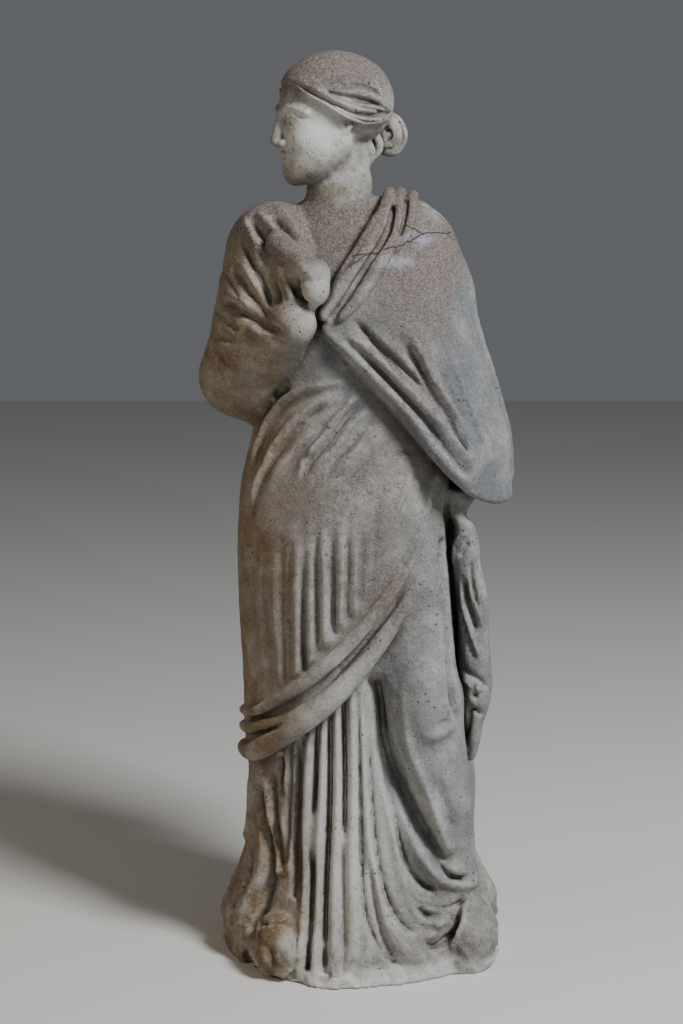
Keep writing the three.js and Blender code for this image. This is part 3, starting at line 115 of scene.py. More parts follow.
class Layer:
    """One mass of stone or layer of cloth, and the cuts made in it. Lines are dropped on its bed,
    which is the form before it was trimmed to its edges."""

    reach = 45  # how deep under and over the form its cuts are felt

    def __init__(self, form, bed=None):
        self.form = form
        self.bed = bed or form
        self.cuts = []

    def distance(self, x, y, z):
        d = self.form(x, y, z)
        for cut in self.cuts:
            inside = np.abs(d) < self.reach
            for value, least, most in zip((x, y, z), cut["least"], cut["most"]):
                inside &= (value > least) & (value < most)
            near = np.flatnonzero(inside)
            if len(near):
                d[near] -= cut_height(cut, np.stack([x[near], y[near], z[near]], 1))
        return d

    def facing_out(self, p):
        step = 0.5
        slope = []
        for axis in np.eye(3) * step:
            slope.append(self.bed(*(p + axis).T) - self.bed(*(p - axis).T))
        slope = np.stack(slope, 1)
        return slope / np.linalg.norm(slope, axis=1, keepdims=True)

    def drop(self, start, way):
        p = start.copy()
        for _ in range(60):
            d = self.bed(*p.T)
            p += way * np.where(np.abs(d) < 0.3, 0, np.minimum(d, 30))[:, None]
        return p

    def around(self, line):
        """Points given as degrees round the figure's axis, 0 in front, and height."""
        turn = np.radians(line[:, 0])
        out = np.stack([np.sin(turn), -np.cos(turn), np.zeros(len(line))], 1)
        start = 240 * out
        start[:, 2] = line[:, 1]
        return self.drop(start, -out)

    def facing(self, line):
        """Points given as x and height, from straight in front."""
        start = np.stack([line[:, 0], np.full(len(line), -240.0), line[:, 1]], 1)
        return self.drop(start, np.array([0.0, 1.0, 0.0]))

    def carve(self, line, wide, high, ends=(0.1, 0.1), power=2, place=None):
        """A ridge, or a groove where high is negative, along a line. wide and high may be a pair
        for the two ends, and ends says how much of the length each end takes to fade."""
        at = smooth_line(line, 5)
        points = (place or self.facing)(at)
        wide = np.atleast_1d(wide).astype(float)
        high = np.atleast_1d(high).astype(float)
        margin = 3 * wide.max()
        self.cuts.append(
            {
                "points": points,
                "out": self.facing_out(points),
                "wide": wide,
                "high": high,
                "ends": ends,
                "power": power,
                "least": points.min(0) - margin,
                "most": points.max(0) + margin,
            }
        )

    def pleats(self, first, last, count, high, **style):
        """A family of like cuts, spread evenly from a first line to a last one."""
        for n in range(count):
            line = mix(np.array(first, float), np.array(last, float), n / (count - 1))
            swing = 1 + 0.18 * math.sin(2.4 * n + 1)  # no two folds are quite alike
            self.carve(line, high=np.atleast_1d(high) * swing, **style)


def cut_height(cut, p):
    line, out = cut["points"], cut["out"]
    best = np.full(len(p), np.inf)
    along = np.zeros(len(p))
    for n in range(len(line) - 1):
        run = line[n + 1] - line[n]
        off = p - line[n]
        t = np.clip(off @ run / (run @ run), 0, 1)
        off -= t[:, None] * run
        lift = np.einsum("ij,ij->i", off, mix(out[n], out[n + 1], t[:, None]))
        gap = np.einsum("ij,ij->i", off, off) - lift * lift
        nearer = gap < best
        best = np.where(nearer, gap, best)
        along = np.where(nearer, (n + t) / (len(line) - 1), along)
    wide, high = cut["wide"], cut["high"]
    u = np.sqrt(np.maximum(best, 0)) / mix(wide[0], wide[-1], along)
    body = ease(0, cut["ends"][0], along) * ease(0, cut["ends"][1], 1 - along)
    return mix(high[0], high[-1], along) * body * np.exp(-(u ** cut["power"])) * (u < 3)


def course(rows):
    """Reads a table of rows, each a place and its values, at any place between them."""
    rows = np.array(rows, float)
    place, values = rows[:, 0], rows[:, 1:]
    before = np.r_[0, np.arange(len(rows) - 1)]
    after = np.r_[np.arange(1, len(rows)), len(rows) - 1]
    slope = (values[after] - values[before]) / (place[after] - place[before])[:, None]
    fine = np.arange(place[0], place[-1] + 0.5)
    n = np.clip(np.searchsorted(place, fine, side="left") - 1, 0, len(rows) - 2)
    span = place[n + 1] - place[n]
    t = ((fine - place[n]) / span)[:, None]
    span = span[:, None]
    table = (2 * t**3 - 3 * t**2 + 1) * values[n] + (t**3 - 2 * t**2 + t) * span * slope[n]
    table += (3 * t**2 - 2 * t**3) * values[n + 1] + (t**3 - t**2) * span * slope[n + 1]

    def read(at):
        return [np.interp(at, fine, column) for column in table.T]

    return read


# how far the broken rim lies from the middle, by degrees round from the front
rim_at = course(
    [
        [-180, 148],
        [-120, 150],
        [-95, 152],
        [-70, 147],
        [-45, 147],
        [-26, 154],
        [-12, 161],
        [4, 152],
        [14, 143],
        [28, 142],
        [40, 150],
        [48, 166],
        [60, 171],
        [76, 167],
        [110, 157],
        [150, 149],
        [180, 148],
    ]
)


def slab(x, y, z):
    turn = np.degrees(np.arctan2(x, -y))
    chips = 1.6 * np.sin(turn / 3.1) * np.sin(turn / 7.3 + 1) - 1.2 * np.abs(np.sin(turn / 4.7 + z / 19))
    side = np.hypot(x, y) - rim_at(turn)[0] - chips + 0.25 * z
    return meet(side * 0.95, z - 13 - 1.5 * np.sin(x / 17) * np.sin(y / 23), 7)


plinth = Layer(slab)

# ------------------------------------------------------------------------------------------
# The chiton is the thin gown that falls to the plinth. The free leg pushes through it, and it
# is cut with deep upright folds between the feet and curved ones that swing round the shin.


def ball(centre, radii):
    (cx, cy, cz), (rx, ry, rz) = centre, radii

    def form(x, y, z):
        u, v, w = (x - cx) / rx, (y - cy) / ry, (z - cz) / rz
        k = np.sqrt(u * u + v * v + w * w)
        return k * (k - 1) / np.maximum(np.sqrt((u / rx) ** 2 + (v / ry) ** 2 + (w / rz) ** 2), 1e-6)

    return form


def limb(start, thick, stop, thin):
    a = np.array(start, float)
    run = np.array(stop, float) - a
    length2 = run @ run

    def form(x, y, z):
        px, py, pz = x - a[0], y - a[1], z - a[2]
        t = np.clip((px * run[0] + py * run[1] + pz * run[2]) / length2, 0, 1)
        gap2 = (px - run[0] * t) ** 2 + (py - run[1] * t) ** 2 + (pz - run[2] * t) ** 2
        return np.sqrt(gap2) - mix(thick, thin, t)

    return form


def loft(rows):
    """A column of cloth: height, middle x, middle y, half width, front depth, back depth."""
    read = course(rows)

    def form(x, y, z):
        mx, my, half, front, back = read(z)
        depth = np.where(y < my, front, back)
        u, v = (x - mx) / half, (y - my) / depth
        k = np.hypot(u, v)
        return k * (k - 1) / np.maximum(np.hypot(u / half, v / depth), 1e-6)

    return form


gown = loft(
    [
        [0, 3, 0, 154, 150, 144],
        [20, 3, 0, 156, 147, 141],
        [36, 1, 0, 156, 140, 136],
        [50, 1, 0, 153, 133, 129],
        [66, 3, 0, 146, 126, 122],
        [83, 2, 0, 138, 120, 117],
        [107, 1, 0, 129, 112, 110],
        [141, 3, 0, 126, 105, 103],
        [193, 4, 0, 127, 98, 97],
        [282, -1, 0, 118, 91, 92],
        [340, -8, 0, 108, 86, 87],
        [520, -12, 0, 94, 80, 78],
        [610, -8, 4, 80, 64, 66],
    ]
)
leg = blend(18, limb([38, -22, 610], 46, [75, -68, 300], 37), limb([77, -70, 298], 37, [110, -62, 62], 28))
knee = ball([80, -92, 316], [22, 18, 30])
covered_foot = ball([127, -78, 30], [31, 43, 47])


def chiton_form(x, y, z):
    cloth = join(join(gown(x, y, z), leg(x, y, z), 34), knee(x, y, z), 24)
    return meet(join(cloth, covered_foot(x, y, z), 10), z - 610, 10)


chiton = Layer(chiton_form)
ridge = dict(wide=5.5, high=6, ends=(0.08, 0.08))
valley = dict(wide=4.5, high=-9, ends=(0.08, 0.12), power=1.6)
slit = dict(wide=4.5, high=-11, ends=(0.2, 0.15), power=1.8)

# flaring folds at the right side
chiton.carve([[-119, 215], [-121, 148], [-128, 114], [-140, 86], [-152, 66]], (6, 9), (4, 8))
chiton.carve([[-117, 150], [-119, 114], [-124, 86], [-134, 68], [-144, 50]], (4, 6), (-8, -12))
chiton.carve([[-112, 215], [-107, 159], [-105, 126], [-108, 97], [-118, 75], [-129, 46]], (6, 9), (5, 9))
chiton.carve(
    [[-110, 204], [-104, 171], [-96, 137], [-94, 103], [-101, 75], [-111, 49], [-123, 33]],
    (4, 8),
    (-9, -18),
)
chiton.carve([[-104, 220], [-98, 187], [-95, 154], [-90, 117], [-84, 102]], (4, 5), (6, 7))
chiton.carve([[-95, 220], [-91, 171], [-87, 137], [-83, 108]], **valley)
chiton.carve([[-86, 240], [-83, 226], [-85, 204], [-83, 182]], 4, -9, (0.2, 0.3), 2)
chiton.carve([[-84, 178], [-80, 150], [-77, 118]], 4.5, 4, (0.3, 0.2))
chiton.carve([[-78, 250], [-78, 215], [-81, 190]], 3.5, 4, (0.2, 0.3))
# upright folds between the feet
chiton.carve([[-73, 262], [-74, 204], [-76, 148], [-79, 114]], **valley)
chiton.carve([[-70, 262], [-70, 204], [-72, 148], [-74, 100]], 4.5, 5)
chiton.carve([[-65, 262], [-67, 204], [-68, 148], [-69, 96], [-72, 82]], 3.5, -9, power=1.6)
chiton.carve([[-58, 270], [-62, 226], [-63, 182], [-63, 126], [-64, 70]], 3.5, (-9, -13), power=1.6)
chiton.carve(
    [[-51, 280], [-53, 226], [-56, 182], [-58, 148], [-56, 114], [-58, 69], [-61, 29], [-64, 3]], **ridge
)
chiton.carve([[-43, 295], [-45, 226], [-48, 168]], 3.5, (-8, -12), (0.1, 0.2), 1.6)
chiton.carve([[-51, 145], [-49, 114], [-51, 69], [-54, 23], [-56, 6]], **slit)
chiton.carve([[-36, 295], [-37, 215], [-41, 148], [-42, 92], [-45, 35], [-47, 3]], **ridge)
chiton.carve(
    [[-30, 305], [-30, 226], [-32, 148], [-35, 92], [-36, 35], [-37, 4]], 4.5, (-10, -12), (0.05, 0.15), 1.8
)
chiton.carve([[-23, 305], [-21, 226], [-22, 171], [-25, 114], [-25, 58], [-25, 2]], **ridge)
chiton.carve([[-15, 315], [-13, 237], [-13, 146]], 4, -10, (0.05, 0.15), 1.7)
chiton.carve([[-14, 150], [-15, 114], [-14, 58], [-15, 8]], 3.5, -5, (0.2, 0.15), 1.6)
chiton.carve([[-6, 320], [-5, 226], [-6, 148], [-5, 92], [-5, 12]], 7.5, 8, (0.08, 0.08))
chiton.carve(
    [[-1, 330], [2, 249], [4, 182], [5, 126], [7, 86], [15, 58], [31, 33], [58, 15]],
    (2.5, 4),
    (-5, -10),
    power=1.5,
)
# folds that curve round the shin to the left foot
chiton.carve(
    [[5, 335], [7, 271], [9, 204], [14, 148], [22, 103], [29, 71], [40, 49], [57, 33], [83, 20]],
    (5, 7),
    (5, 8),
)
chiton.carve([[12, 140], [17, 103], [23, 69], [33, 41], [46, 26]], 3.5, -8, (0.3, 0.2), 1.6)
chiton.carve(
    [[10, 330], [12, 271], [15, 204], [20, 148], [27, 109], [38, 80], [52, 60], [70, 48]],
    (3, 5),
    (-6, -12),
    power=1.6,
)
chiton.carve(
    [
        [17, 320], [20, 271], [26, 232], [32, 199], [39, 159], [44, 131], [50, 101], [62, 84], [79, 75],
        [96, 74], [114, 80],
    ],
    (4, 6),
    (4, 8),
)
chiton.carve(
    [[22, 305], [26, 249], [33, 210], [42, 171], [50, 137], [60, 114], [75, 97], [92, 90]],
    (3, 5),
    (-5, -11),
    power=1.6,
)
chiton.carve(
    [
        [26, 265], [33, 226], [42, 199], [53, 171], [64, 143], [76, 121], [89, 105], [106, 97],
        [125, 94], [138, 95],
    ],
    (4, 6),
    (4, 7),
)
chiton.carve([[18, 335], [25, 275], [36, 230], [50, 190]], (8, 12), (-22, -24), (0.08, 0.3))
chiton.carve([[34, 245], [50, 198], [70, 160], [90, 133], [110, 117]], (15, 8), (-20, -13), (0.3, 0.15))
chiton.carve([[60, 160], [83, 128], [104, 114], [124, 108]], 5, 5, (0.3, 0.15))
chiton.carve([[70, 140], [90, 119], [108, 106], [126, 101]], 3, -6, (0.3, 0.15), 1.6)
chiton.carve([[51, 99], [62, 85], [76, 77], [94, 73], [114, 76], [130, 88]], 3, -7, (0.2, 0.2), 1.6)
chiton.carve([[52, 90], [62, 72], [76, 60], [92, 55], [106, 62]], (4, 5), 6, (0.2, 0.2))
chiton.carve([[62, 79], [74, 70], [86, 59]], 5, -9, (0.3, 0.3))
chiton.carve([[72, 42], [86, 35], [98, 38], [108, 54], [114, 74]], (4, 6), -12, (0.2, 0.2), 1.7)
chiton.carve([[123, 86], [117, 63], [110, 44], [101, 25]], 3.5, 7, (0.15, 0.2))
# the shin's edge, knee and thigh under the cloth
chiton.carve(
    [[47, 350], [50, 300], [57, 255], [70, 221], [83, 187], [93, 153], [103, 124], [118, 104]],
    (4, 7),
    (3, 8),
    (0.3, 0.15),
)
chiton.carve([[84, 225], [93, 198], [101, 172], [108, 148]], 7, -5, (0.3, 0.3))
chiton.carve([[103, 312], [108, 292], [100, 277], [82, 268], [66, 266]], (5, 8), (6, 5), (0.2, 0.3))
chiton.carve([[98, 290], [94, 281], [84, 277]], 5, -3, (0.3, 0.3))
chiton.carve(
    [[94, 480], [97, 440], [101, 380], [104, 330], [108, 296], [112, 268]], (6, 5), (-24, -16), (0.05, 0.25)
)
around = dict(place=chiton.around)
behind = dict(wide=(6, 8), high=(4, 8), ends=(0.05, 0.08), **around)
chiton.pleats([[92, 240], [93, 130], [94, 12]], [[180, 240], [180, 130], [180, 12]], 7, **behind)
chiton.pleats([[-104, 240], [-106, 130], [-110, 12]], [[-170, 240], [-170, 130], [-170, 12]], 6, **behind)
between = dict(wide=(4, 6), high=(-4, -7), ends=(0.25, 0.1), **around)
chiton.pleats([[99, 220], [101, 130], [102, 30]], [[173, 220], [173, 130], [173, 30]], 6, **between)
chiton.pleats([[-98, 220], [-99, 130], [-103, 30]], [[-164, 220], [-164, 130], [-164, 30]], 6, **between)

# ------------------------------------------------------------------------------------------
# The right foot stands forward on the plinth, a worn lump with the gown's hem lying over its
# instep. It is cut from the same stone.
toes = blend(7, ball([-98, -118, 22], [14, 20, 19]), ball([-80, -124, 24], [18, 20, 21]))
foot = Layer(blend(9, ball([-86, -104, 42], [24, 34, 27]), toes))
foot.carve([[-107, 58], [-94, 63], [-78, 64], [-64, 62]], 2.5, -7, (0.1, 0.1), 1.6)
foot.carve([[-109, 40], [-107, 54], [-102, 62]], 2.5, -5, (0.3, 0.2), 1.6)
foot.carve([[-96, 44], [-92, 26], [-84, 12]], 4, -4, (0.3, 0.2))
foot.carve([[-84, 50], [-76, 34], [-70, 14]], 5, 4, (0.3, 0.2))

# ------------------------------------------------------------------------------------------
# The mantle is the heavy outer cloth, wrapped round body and hips. Its hem climbs from the
# right calf to the left hip; folds arc across the waist, fan from the hip and hang down the
# right thigh, and plain swags cross the back.
wrap = loft(
    [
        [150, -2, 0, 122, 108, 100],
        [200, -3, 0, 122, 107, 100],
        [282, -6, 0, 121, 104, 98],
        [340, -10, 0, 119, 103, 97],
        [398, -13, 0, 119, 103, 96],
        [451, -14, 0, 119, 104, 95],
        [489, -13, 0, 119, 104, 93],
        [534, -9, 0, 119, 99, 90],
        [578, -6, 2, 112, 91, 88],
        [620, -2, 4, 107, 86, 86],
        [700, 0, 5, 105, 84, 84],
        [760, 0, 6, 103, 76, 80],
        [800, -2, 8, 88, 58, 66],
        [830, -6, 8, 64, 42, 50],
        [852, -12, 6, 40, 33, 38],
    ]
)
# height of the hem across the front, from the figure's right to its left
hem_at = course(
    [
        [-200, 170],
        [-128, 205],
        [-92, 240],
        [-40, 300],
        [6, 352],
        [50, 412],
        [90, 490],
        [120, 560],
        [200, 640],
    ]
)


def mantle_form(x, y, z):
    hem = mix(hem_at(x)[0], 205 + 0.25 * (x + 130), ease(-45, 10, y))
    return meet(meet(wrap(x, y, z), (hem - z) * 0.75, 14), z - 846, 12)


mantle = Layer(mantle_form, wrap)
crest = dict(wide=(4.5, 5), high=(6, 5), ends=(0.12, 0.15))
crease = dict(wide=(5, 5), high=(-6, -5), ends=(0.12, 0.15), power=1.6)
# arcs that sweep from the right hip up across the waist
mantle.carve([[-93, 630], [-82, 638], [-71, 645]], 5.8, -6, (0.1, 0.3), 1.6)
mantle.carve(
    [
        [-119, 535], [-112, 570], [-102, 596], [-92, 613], [-78, 629], [-63, 638], [-47, 644],
        [-26, 649], [-8, 652],
    ],
    **crest,
)
mantle.carve(
    [[-119, 540], [-111, 566], [-99, 594], [-84, 615], [-73, 625], [-62, 632], [-49, 640], [-34, 643]],
    5.3,
    (-8.2, -4.5),
    (0.15, 0.2),
    1.6,
)
mantle.carve(
    [[-116, 505], [-110, 535], [-99, 560], [-89, 581], [-73, 602], [-57, 617], [-39, 629], [-18, 634]],
    **crest,
)
mantle.carve(
    [[-117, 492], [-110, 523], [-100, 546], [-90, 567], [-77, 586], [-62, 603], [-44, 618], [-28, 627]],
    **crease,
)
mantle.carve([[-98, 533], [-91, 550], [-78, 567], [-65, 583], [-52, 595], [-45, 600]], 5, 4, (0.3, 0.3))
mantle.carve(
    [[-86, 540], [-76, 556], [-63, 573], [-50, 585], [-40, 595], [-22, 610]], 5.8, -4.5, (0.3, 0.2), 1.6
)
mantle.carve(
    [[-56, 568], [-50, 577], [-39, 591], [-26, 608], [-15, 620], [-7, 630], [7, 638]], 3.5, 6, (0.2, 0.2)
)
mantle.carve(
    [[-66, 541], [-52, 563], [-39, 577], [-28, 592], [-17, 606], [-8, 617], [5, 628]],
    4.8,
    -6,
    (0.2, 0.2),
    1.6,
)
mantle.carve([[-66, 545], [-60, 558], [-60, 572]], 3, 3, (0.3, 0.3))
mantle.carve([[-50, 552], [-43, 563], [-24, 581], [-11, 600], [0, 612], [17, 626]], 3.5, 6, (0.25, 0.2))
mantle.carve([[-38, 552], [-20, 572], [-8, 584], [6, 600], [22, 615]], 4.8, -5.2, (0.25, 0.2), 1.6)
mantle.carve([[-34, 545], [-14, 564], [1, 582], [16, 595], [32, 604]], 3.5, 5, (0.25, 0.25))
mantle.carve([[-26, 536], [-8, 552], [8, 568], [22, 584]], 4, -3, (0.3, 0.3))
mantle.carve([[-14, 536], [11, 557], [27, 566], [42, 573], [65, 578]], 2, -3, (0.3, 0.1), 1.5)
# folds that fan down from the left hip
mantle.carve([[64, 556], [53, 537], [42, 514], [33, 488], [24, 458]], (4, 7), (5, 3), (0.2, 0.4))
mantle.carve([[68, 561], [60, 543], [52, 521], [44, 500], [35, 474]], (3.8, 6.8), (-4, -2.4), (0.2, 0.4))
mantle.carve([[75, 570], [74, 548], [70, 523], [64, 497]], 3.8, -7.2, (0.1, 0.3), 1.6)
mantle.carve([[40, 556], [34, 530], [25, 500], [14, 462]], (5, 8), 3, (0.3, 0.4))
mantle.carve([[80, 552], [78, 530], [74, 505], [66, 478]], (4, 6), 5, (0.2, 0.3))
mantle.carve([[88, 545], [86, 525], [80, 505], [70, 482]], 3.8, -5.6, (0.2, 0.3), 1.6)
# upright folds down the right thigh
hang = dict(ends=(0.35, 0.16), power=1.8)
mantle.carve([[-114, 500], [-113, 379], [-110, 300]], 5, -3, **hang)
mantle.carve([[-101, 480], [-99, 401], [-93, 357], [-88, 312]], 5, -4, **hang)
mantle.carve([[-82, 500], [-80, 390], [-78, 312]], 4, -4, **hang)
mantle.carve([[-71, 490], [-73, 401], [-71, 318]], 3.5, -4, **hang)
mantle.carve([[-57, 515], [-58, 422], [-59, 368], [-56, 330]], 5, (-4, -8), **hang)
mantle.carve([[-43, 505], [-44, 444], [-43, 350]], 4, -4, **hang)
mantle.carve([[-28, 520], [-27, 465], [-26, 422], [-26, 368]], 5, (-4, -8), **hang)
mantle.carve([[-10, 515], [-11, 444], [-12, 388]], 4.5, -4, **hang)
mantle.carve([[6, 505], [3, 455], [1, 405]], 4, -3, **hang)
mantle.carve([[21, 505], [18, 465], [16, 425]], 4.5, -3, **hang)
swell = dict(wide=5, ends=(0.4, 0.1))
mantle.carve([[-107, 480], [-105, 390], [-100, 312]], high=2.5, **swell)
mantle.carve([[-91, 480], [-89, 390], [-85, 316]], high=2.5, **swell)
mantle.carve([[-65, 505], [-65, 400], [-65, 325]], high=4.5, **swell)
mantle.carve([[-50, 505], [-51, 400], [-50, 340]], high=4, **swell)
mantle.carve([[-36, 515], [-36, 440], [-34, 358]], high=4.5, **swell)
mantle.carve([[-18, 515], [-18, 450], [-19, 380]], high=4, **swell)
mantle.carve([[-3, 505], [-4, 440], [-5, 398]], high=3, **swell)
mantle.carve(
    [[70, 560], [80, 500], [90, 450], [95, 400], [100, 340], [106, 280]],
    5,
    -14,
    (0.2, 0.05),
    place=mantle.around,
)
around = dict(place=mantle.around)
swag_top = [[-96, 450], [-130, 520], [-170, 640], [-205, 760]]
swag_low = [[-92, 300], [-130, 350], [-170, 440], [-215, 560]]
mantle.pleats(swag_top, swag_low, 5, wide=9, high=6, ends=(0.2, 0.1), **around)
gap_top = [[-94, 415], [-130, 480], [-170, 590], [-205, 710]]
gap_low = [[-90, 280], [-130, 320], [-170, 400], [-215, 520]]
mantle.pleats(gap_top, gap_low, 4, wide=6, high=-6, ends=(0.2, 0.1), **around)

# ------------------------------------------------------------------------------------------
# The hem of the mantle is rolled into two ropes of cloth that lie on the thigh and taper up
# to the left hip. They stand out from the cloth, with a furrow between them.


def chain(beads):
    """A tube through beads of x, y, z and radius."""
    beads = np.array(beads, float)
    runs = [limb(a[:3], a[3], b[:3], b[3]) for a, b in zip(beads, beads[1:])]
    least = beads[:, :3].min(0) - 36
    most = beads[:, :3].max(0) + 36

    def form(x, y, z):
        outside = 0
        for value, a, b in zip((x, y, z), least, most):
            outside = outside + np.maximum(np.maximum(a - value, value - b), 0) ** 2
        d = 20 + np.sqrt(outside)
        near = np.flatnonzero(outside == 0)
        if len(near):
            nx, ny, nz = x[near], y[near], z[near]
            tube = np.full(len(near), np.inf)
            for run in runs:
                tube = np.minimum(tube, run(nx, ny, nz))
            d[near] = tube
        return d

    return form


def rope(layer, seats, thick, sunk=0.3):
    """A rope of cloth lying on a layer's bed, over seats found on it, each with a radius."""
    at = smooth_line(np.hstack([seats, np.array(thick, float)[:, None]]), 5)
    thick = at[:, 3:]
    return chain(np.hstack([at[:, :3] + layer.facing_out(at[:, :3]) * thick * (1 - 2 * sunk), thick]))


def hem_rope(line, thick, back):
    """A rope of the hem: its way across the front, its radii, and its way round the side."""
    seats = np.vstack([mantle.around(np.array(back, float)), mantle.facing(np.array(line, float))])
    return rope(mantle, seats, thick)


upper = [
    [-112, 281], [-98, 292], [-62, 321], [-31, 346], [-8, 370], [12, 393], [30, 418], [45, 440],
    [58, 464], [70, 492],
]
middle = [[-115, 262], [-98, 272], [-75, 283], [-55, 300]]
lower = [
    [-114, 235], [-98, 248], [-62, 279], [-31, 307], [-9, 331], [11, 355], [29, 380], [43, 401],
    [54, 422], [63, 446],
]
rolls = [
    hem_rope(upper, [3, 5, 6, 7, 8, 10, 10, 9, 8, 7, 6, 5], [[-120, 258], [-96, 268]]),
    hem_rope(middle, [3, 5, 7, 7, 6, 4], [[-120, 242], [-96, 250]]),
    hem_rope(lower, [4, 7, 10, 12, 13, 13, 12, 11, 10, 8, 6, 4], [[-120, 220], [-96, 226]]),
]
hem_roll = Layer(blend(8, *rolls), wrap)
hem_roll.carve([[-115, 272], [-100, 281], [-80, 290]], 2, -4, (0.1, 0.4), 1.5)
hem_roll.carve([[-118, 250], [-100, 262], [-80, 275], [-66, 288]], 2, -4, (0.1, 0.4), 1.5)
hem_roll.carve(
    [[-67, 300], [-41, 322], [-21, 343], [0, 366], [20, 389], [42, 416], [57, 441]],
    (3.5, 2.5),
    (-9, -5),
    (0.15, 0.3),
    1.6,
)
hem_roll.carve([[-10, 372], [12, 398], [36, 432], [54, 462], [66, 490]], 1.8, -3, (0.3, 0.2), 1.5)
hem_roll.carve([[-20, 322], [4, 350], [28, 383], [48, 416]], 1.8, -3, (0.3, 0.2), 1.5)

# ------------------------------------------------------------------------------------------
# The tail is the end of the mantle, folded on itself and hanging from the hidden left hand
# beside the leg. A deep channel parts it from the gown.
fall = loft(
    [
        [216, 127, -34, 4, 8, 8],
        [243, 129, -36, 9, 14, 16],
        [268, 130, -38, 12, 19, 26],
        [291, 132, -38, 17, 22, 34],
        [314, 132, -38, 19, 23, 38],
        [360, 129, -38, 18, 23, 42],
        [405, 127, -38, 18, 23, 44],
        [450, 120, -38, 16, 22, 44],
        [472, 120, -37, 14, 20, 44],
        [488, 118, -36, 11, 17, 44],
        [500, 111, -34, 10, 14, 44],
        [520, 110, -28, 22, 16, 44],
    ]
)


web = limb([108, -10, 510], 11, [114, -12, 250], 11)


def tail_form(x, y, z):
    return join(meet(meet(fall(x, y, z), 222 - z, 5), z - 530, 8), web(x, y, z), 5)


tail = Layer(tail_form, fall)
tuck = dict(wide=3, high=-9, ends=(0.15, 0.3), power=1.6)
tail.carve([[110, 456], [118, 467], [125, 474]], 3, -6, (0.2, 0.2), 1.6)
tail.carve([[107, 440], [106, 456], [109, 472], [117, 481], [126, 479]], 2.5, 4, (0.3, 0.2))
tail.carve([[127, 455], [128, 433], [132, 411], [137, 391]], **tuck)
tail.carve([[117, 436], [119, 416], [124, 399], [130, 382], [132, 368]], **tuck)
tail.carve([[112, 400], [118, 377], [127, 354], [132, 337]], 2.5, -6, (0.2, 0.3), 1.6)
tail.carve([[112, 339], [120, 329], [131, 323], [140, 317], [147, 307]], 3, -6, (0.15, 0.15), 1.6)
tail.carve([[128, 316], [130, 306], [132, 294]], 2.5, -6, (0.2, 0.3), 1.6)
tail.carve([[125, 295], [123, 268], [119, 249]], 3, -6, (0.2, 0.2), 1.6)
tail.carve([[128, 288], [133, 284], [143, 277]], 2.5, -6, (0.2, 0.2), 1.6)
tail.carve([[112, 439], [116, 405], [122, 382], [129, 360], [134, 342]], 2.5, 4, (0.3, 0.2))
tail.carve([[122, 444], [125, 416], [133, 394], [138, 376]], 2.5, 4, (0.3, 0.2))
tail.carve([[116, 322], [124, 314], [136, 306]], 3, 4, (0.3, 0.2))

# ------------------------------------------------------------------------------------------
# The cape is the left side of the mantle: it comes over the shoulder and the bent arm, and its
# edge is one long slant across the body, from the right hand down to the left elbow.
shoulder_fall = loft(
    [
        [480, 60, 6, 116, 88, 84],
        [520, 60, 6, 114, 90, 84],
        [578, 55, 6, 114, 95, 86],
        [640, 47, 6, 105, 98, 86],
        [705, 37, 6, 93, 94, 84],
        [745, 32, 8, 90, 86, 82],
        [774, 30, 8, 86, 77, 76],
        [800, 28, 8, 81, 65, 68],
        [820, 24, 8, 74, 54, 60],
        [838, 22, 8, 54, 42, 50],
        [852, 20, 8, 30, 26, 34],
    ]
)
# height of the slanting edge across the front, from the figure's right to its left
slant_at = course(
    [
        [-200, 850],
        [-52, 711],
        [-31, 694],
        [-10, 672],
        [11, 648],
        [32, 626],
        [55, 598],
        [85, 564],
        [116, 531],
        [138, 517],
        [158, 512],
        [220, 512],
    ]
)
lower_arm = limb([96, -60, 560], 34, [132, -12, 575], 30)


def cape_bed(x, y, z):
    cloth = join(join(shoulder_fall(x, y, z), wrap(x, y, z) - 9, 16), lower_arm(x, y, z), 24)
    return meet(cloth, z - 848, 14)


def cape_form(x, y, z):
    back = ease(-10, 40, y)
    below = mix((slant_at(x)[0] - z) * 0.7, 512 - z, back)
    inner = mix((-46 - x + (z - 700) * 0.52) * 0.9, 30 - x, back)
    return meet(meet(cape_bed(x, y, z), below, 7), inner, mix(10, 40, back))


cape = Layer(cape_form, cape_bed)
furl = dict(wide=(4.5, 5), high=(6, 5), ends=(0.1, 0.15))
cape.carve(
    [
        [-31, 700], [-10, 684], [11, 664], [27, 647], [43, 630], [59, 611], [74, 590], [90, 571],
        [106, 553], [127, 535],
    ],
    (5, 6),
    (6, 6),
    (0.08, 0.15),
)
cape.carve(
    [[-10, 696], [22, 664], [43, 642], [64, 620], [81, 599], [95, 579], [111, 559], [129, 544]],
    3.9,
    (-5.4, -6.3),
    (0.15, 0.15),
    1.6,
)
cape.carve(
    [[-17, 704], [6, 690], [27, 670], [48, 649], [66, 630], [85, 610], [102, 589], [116, 571], [133, 553]],
    **furl,
)
cape.carve(
    [[-6, 718], [16, 698], [32, 684], [48, 668], [64, 651], [81, 631], [96, 612]],
    3.4,
    (-8.1, -5.4),
    (0.1, 0.3),
    1.6,
)
cape.carve([[2, 706], [21, 688], [36, 670], [52, 652]], 2.4, -3.6, (0.3, 0.3), 1.5)
cape.carve(
    [[6, 714], [27, 694], [43, 680], [57, 665], [70, 649], [86, 629], [102, 607], [118, 583]],
    5,
    (5, 4),
    (0.15, 0.2),
)
cape.carve(
    [[40, 708], [54, 684], [65, 667], [75, 647], [86, 630], [98, 613], [108, 597], [119, 582], [127, 570]],
    4.4,
    (-6.3, -10.8),
    (0.2, 0.12),
    1.6,
)
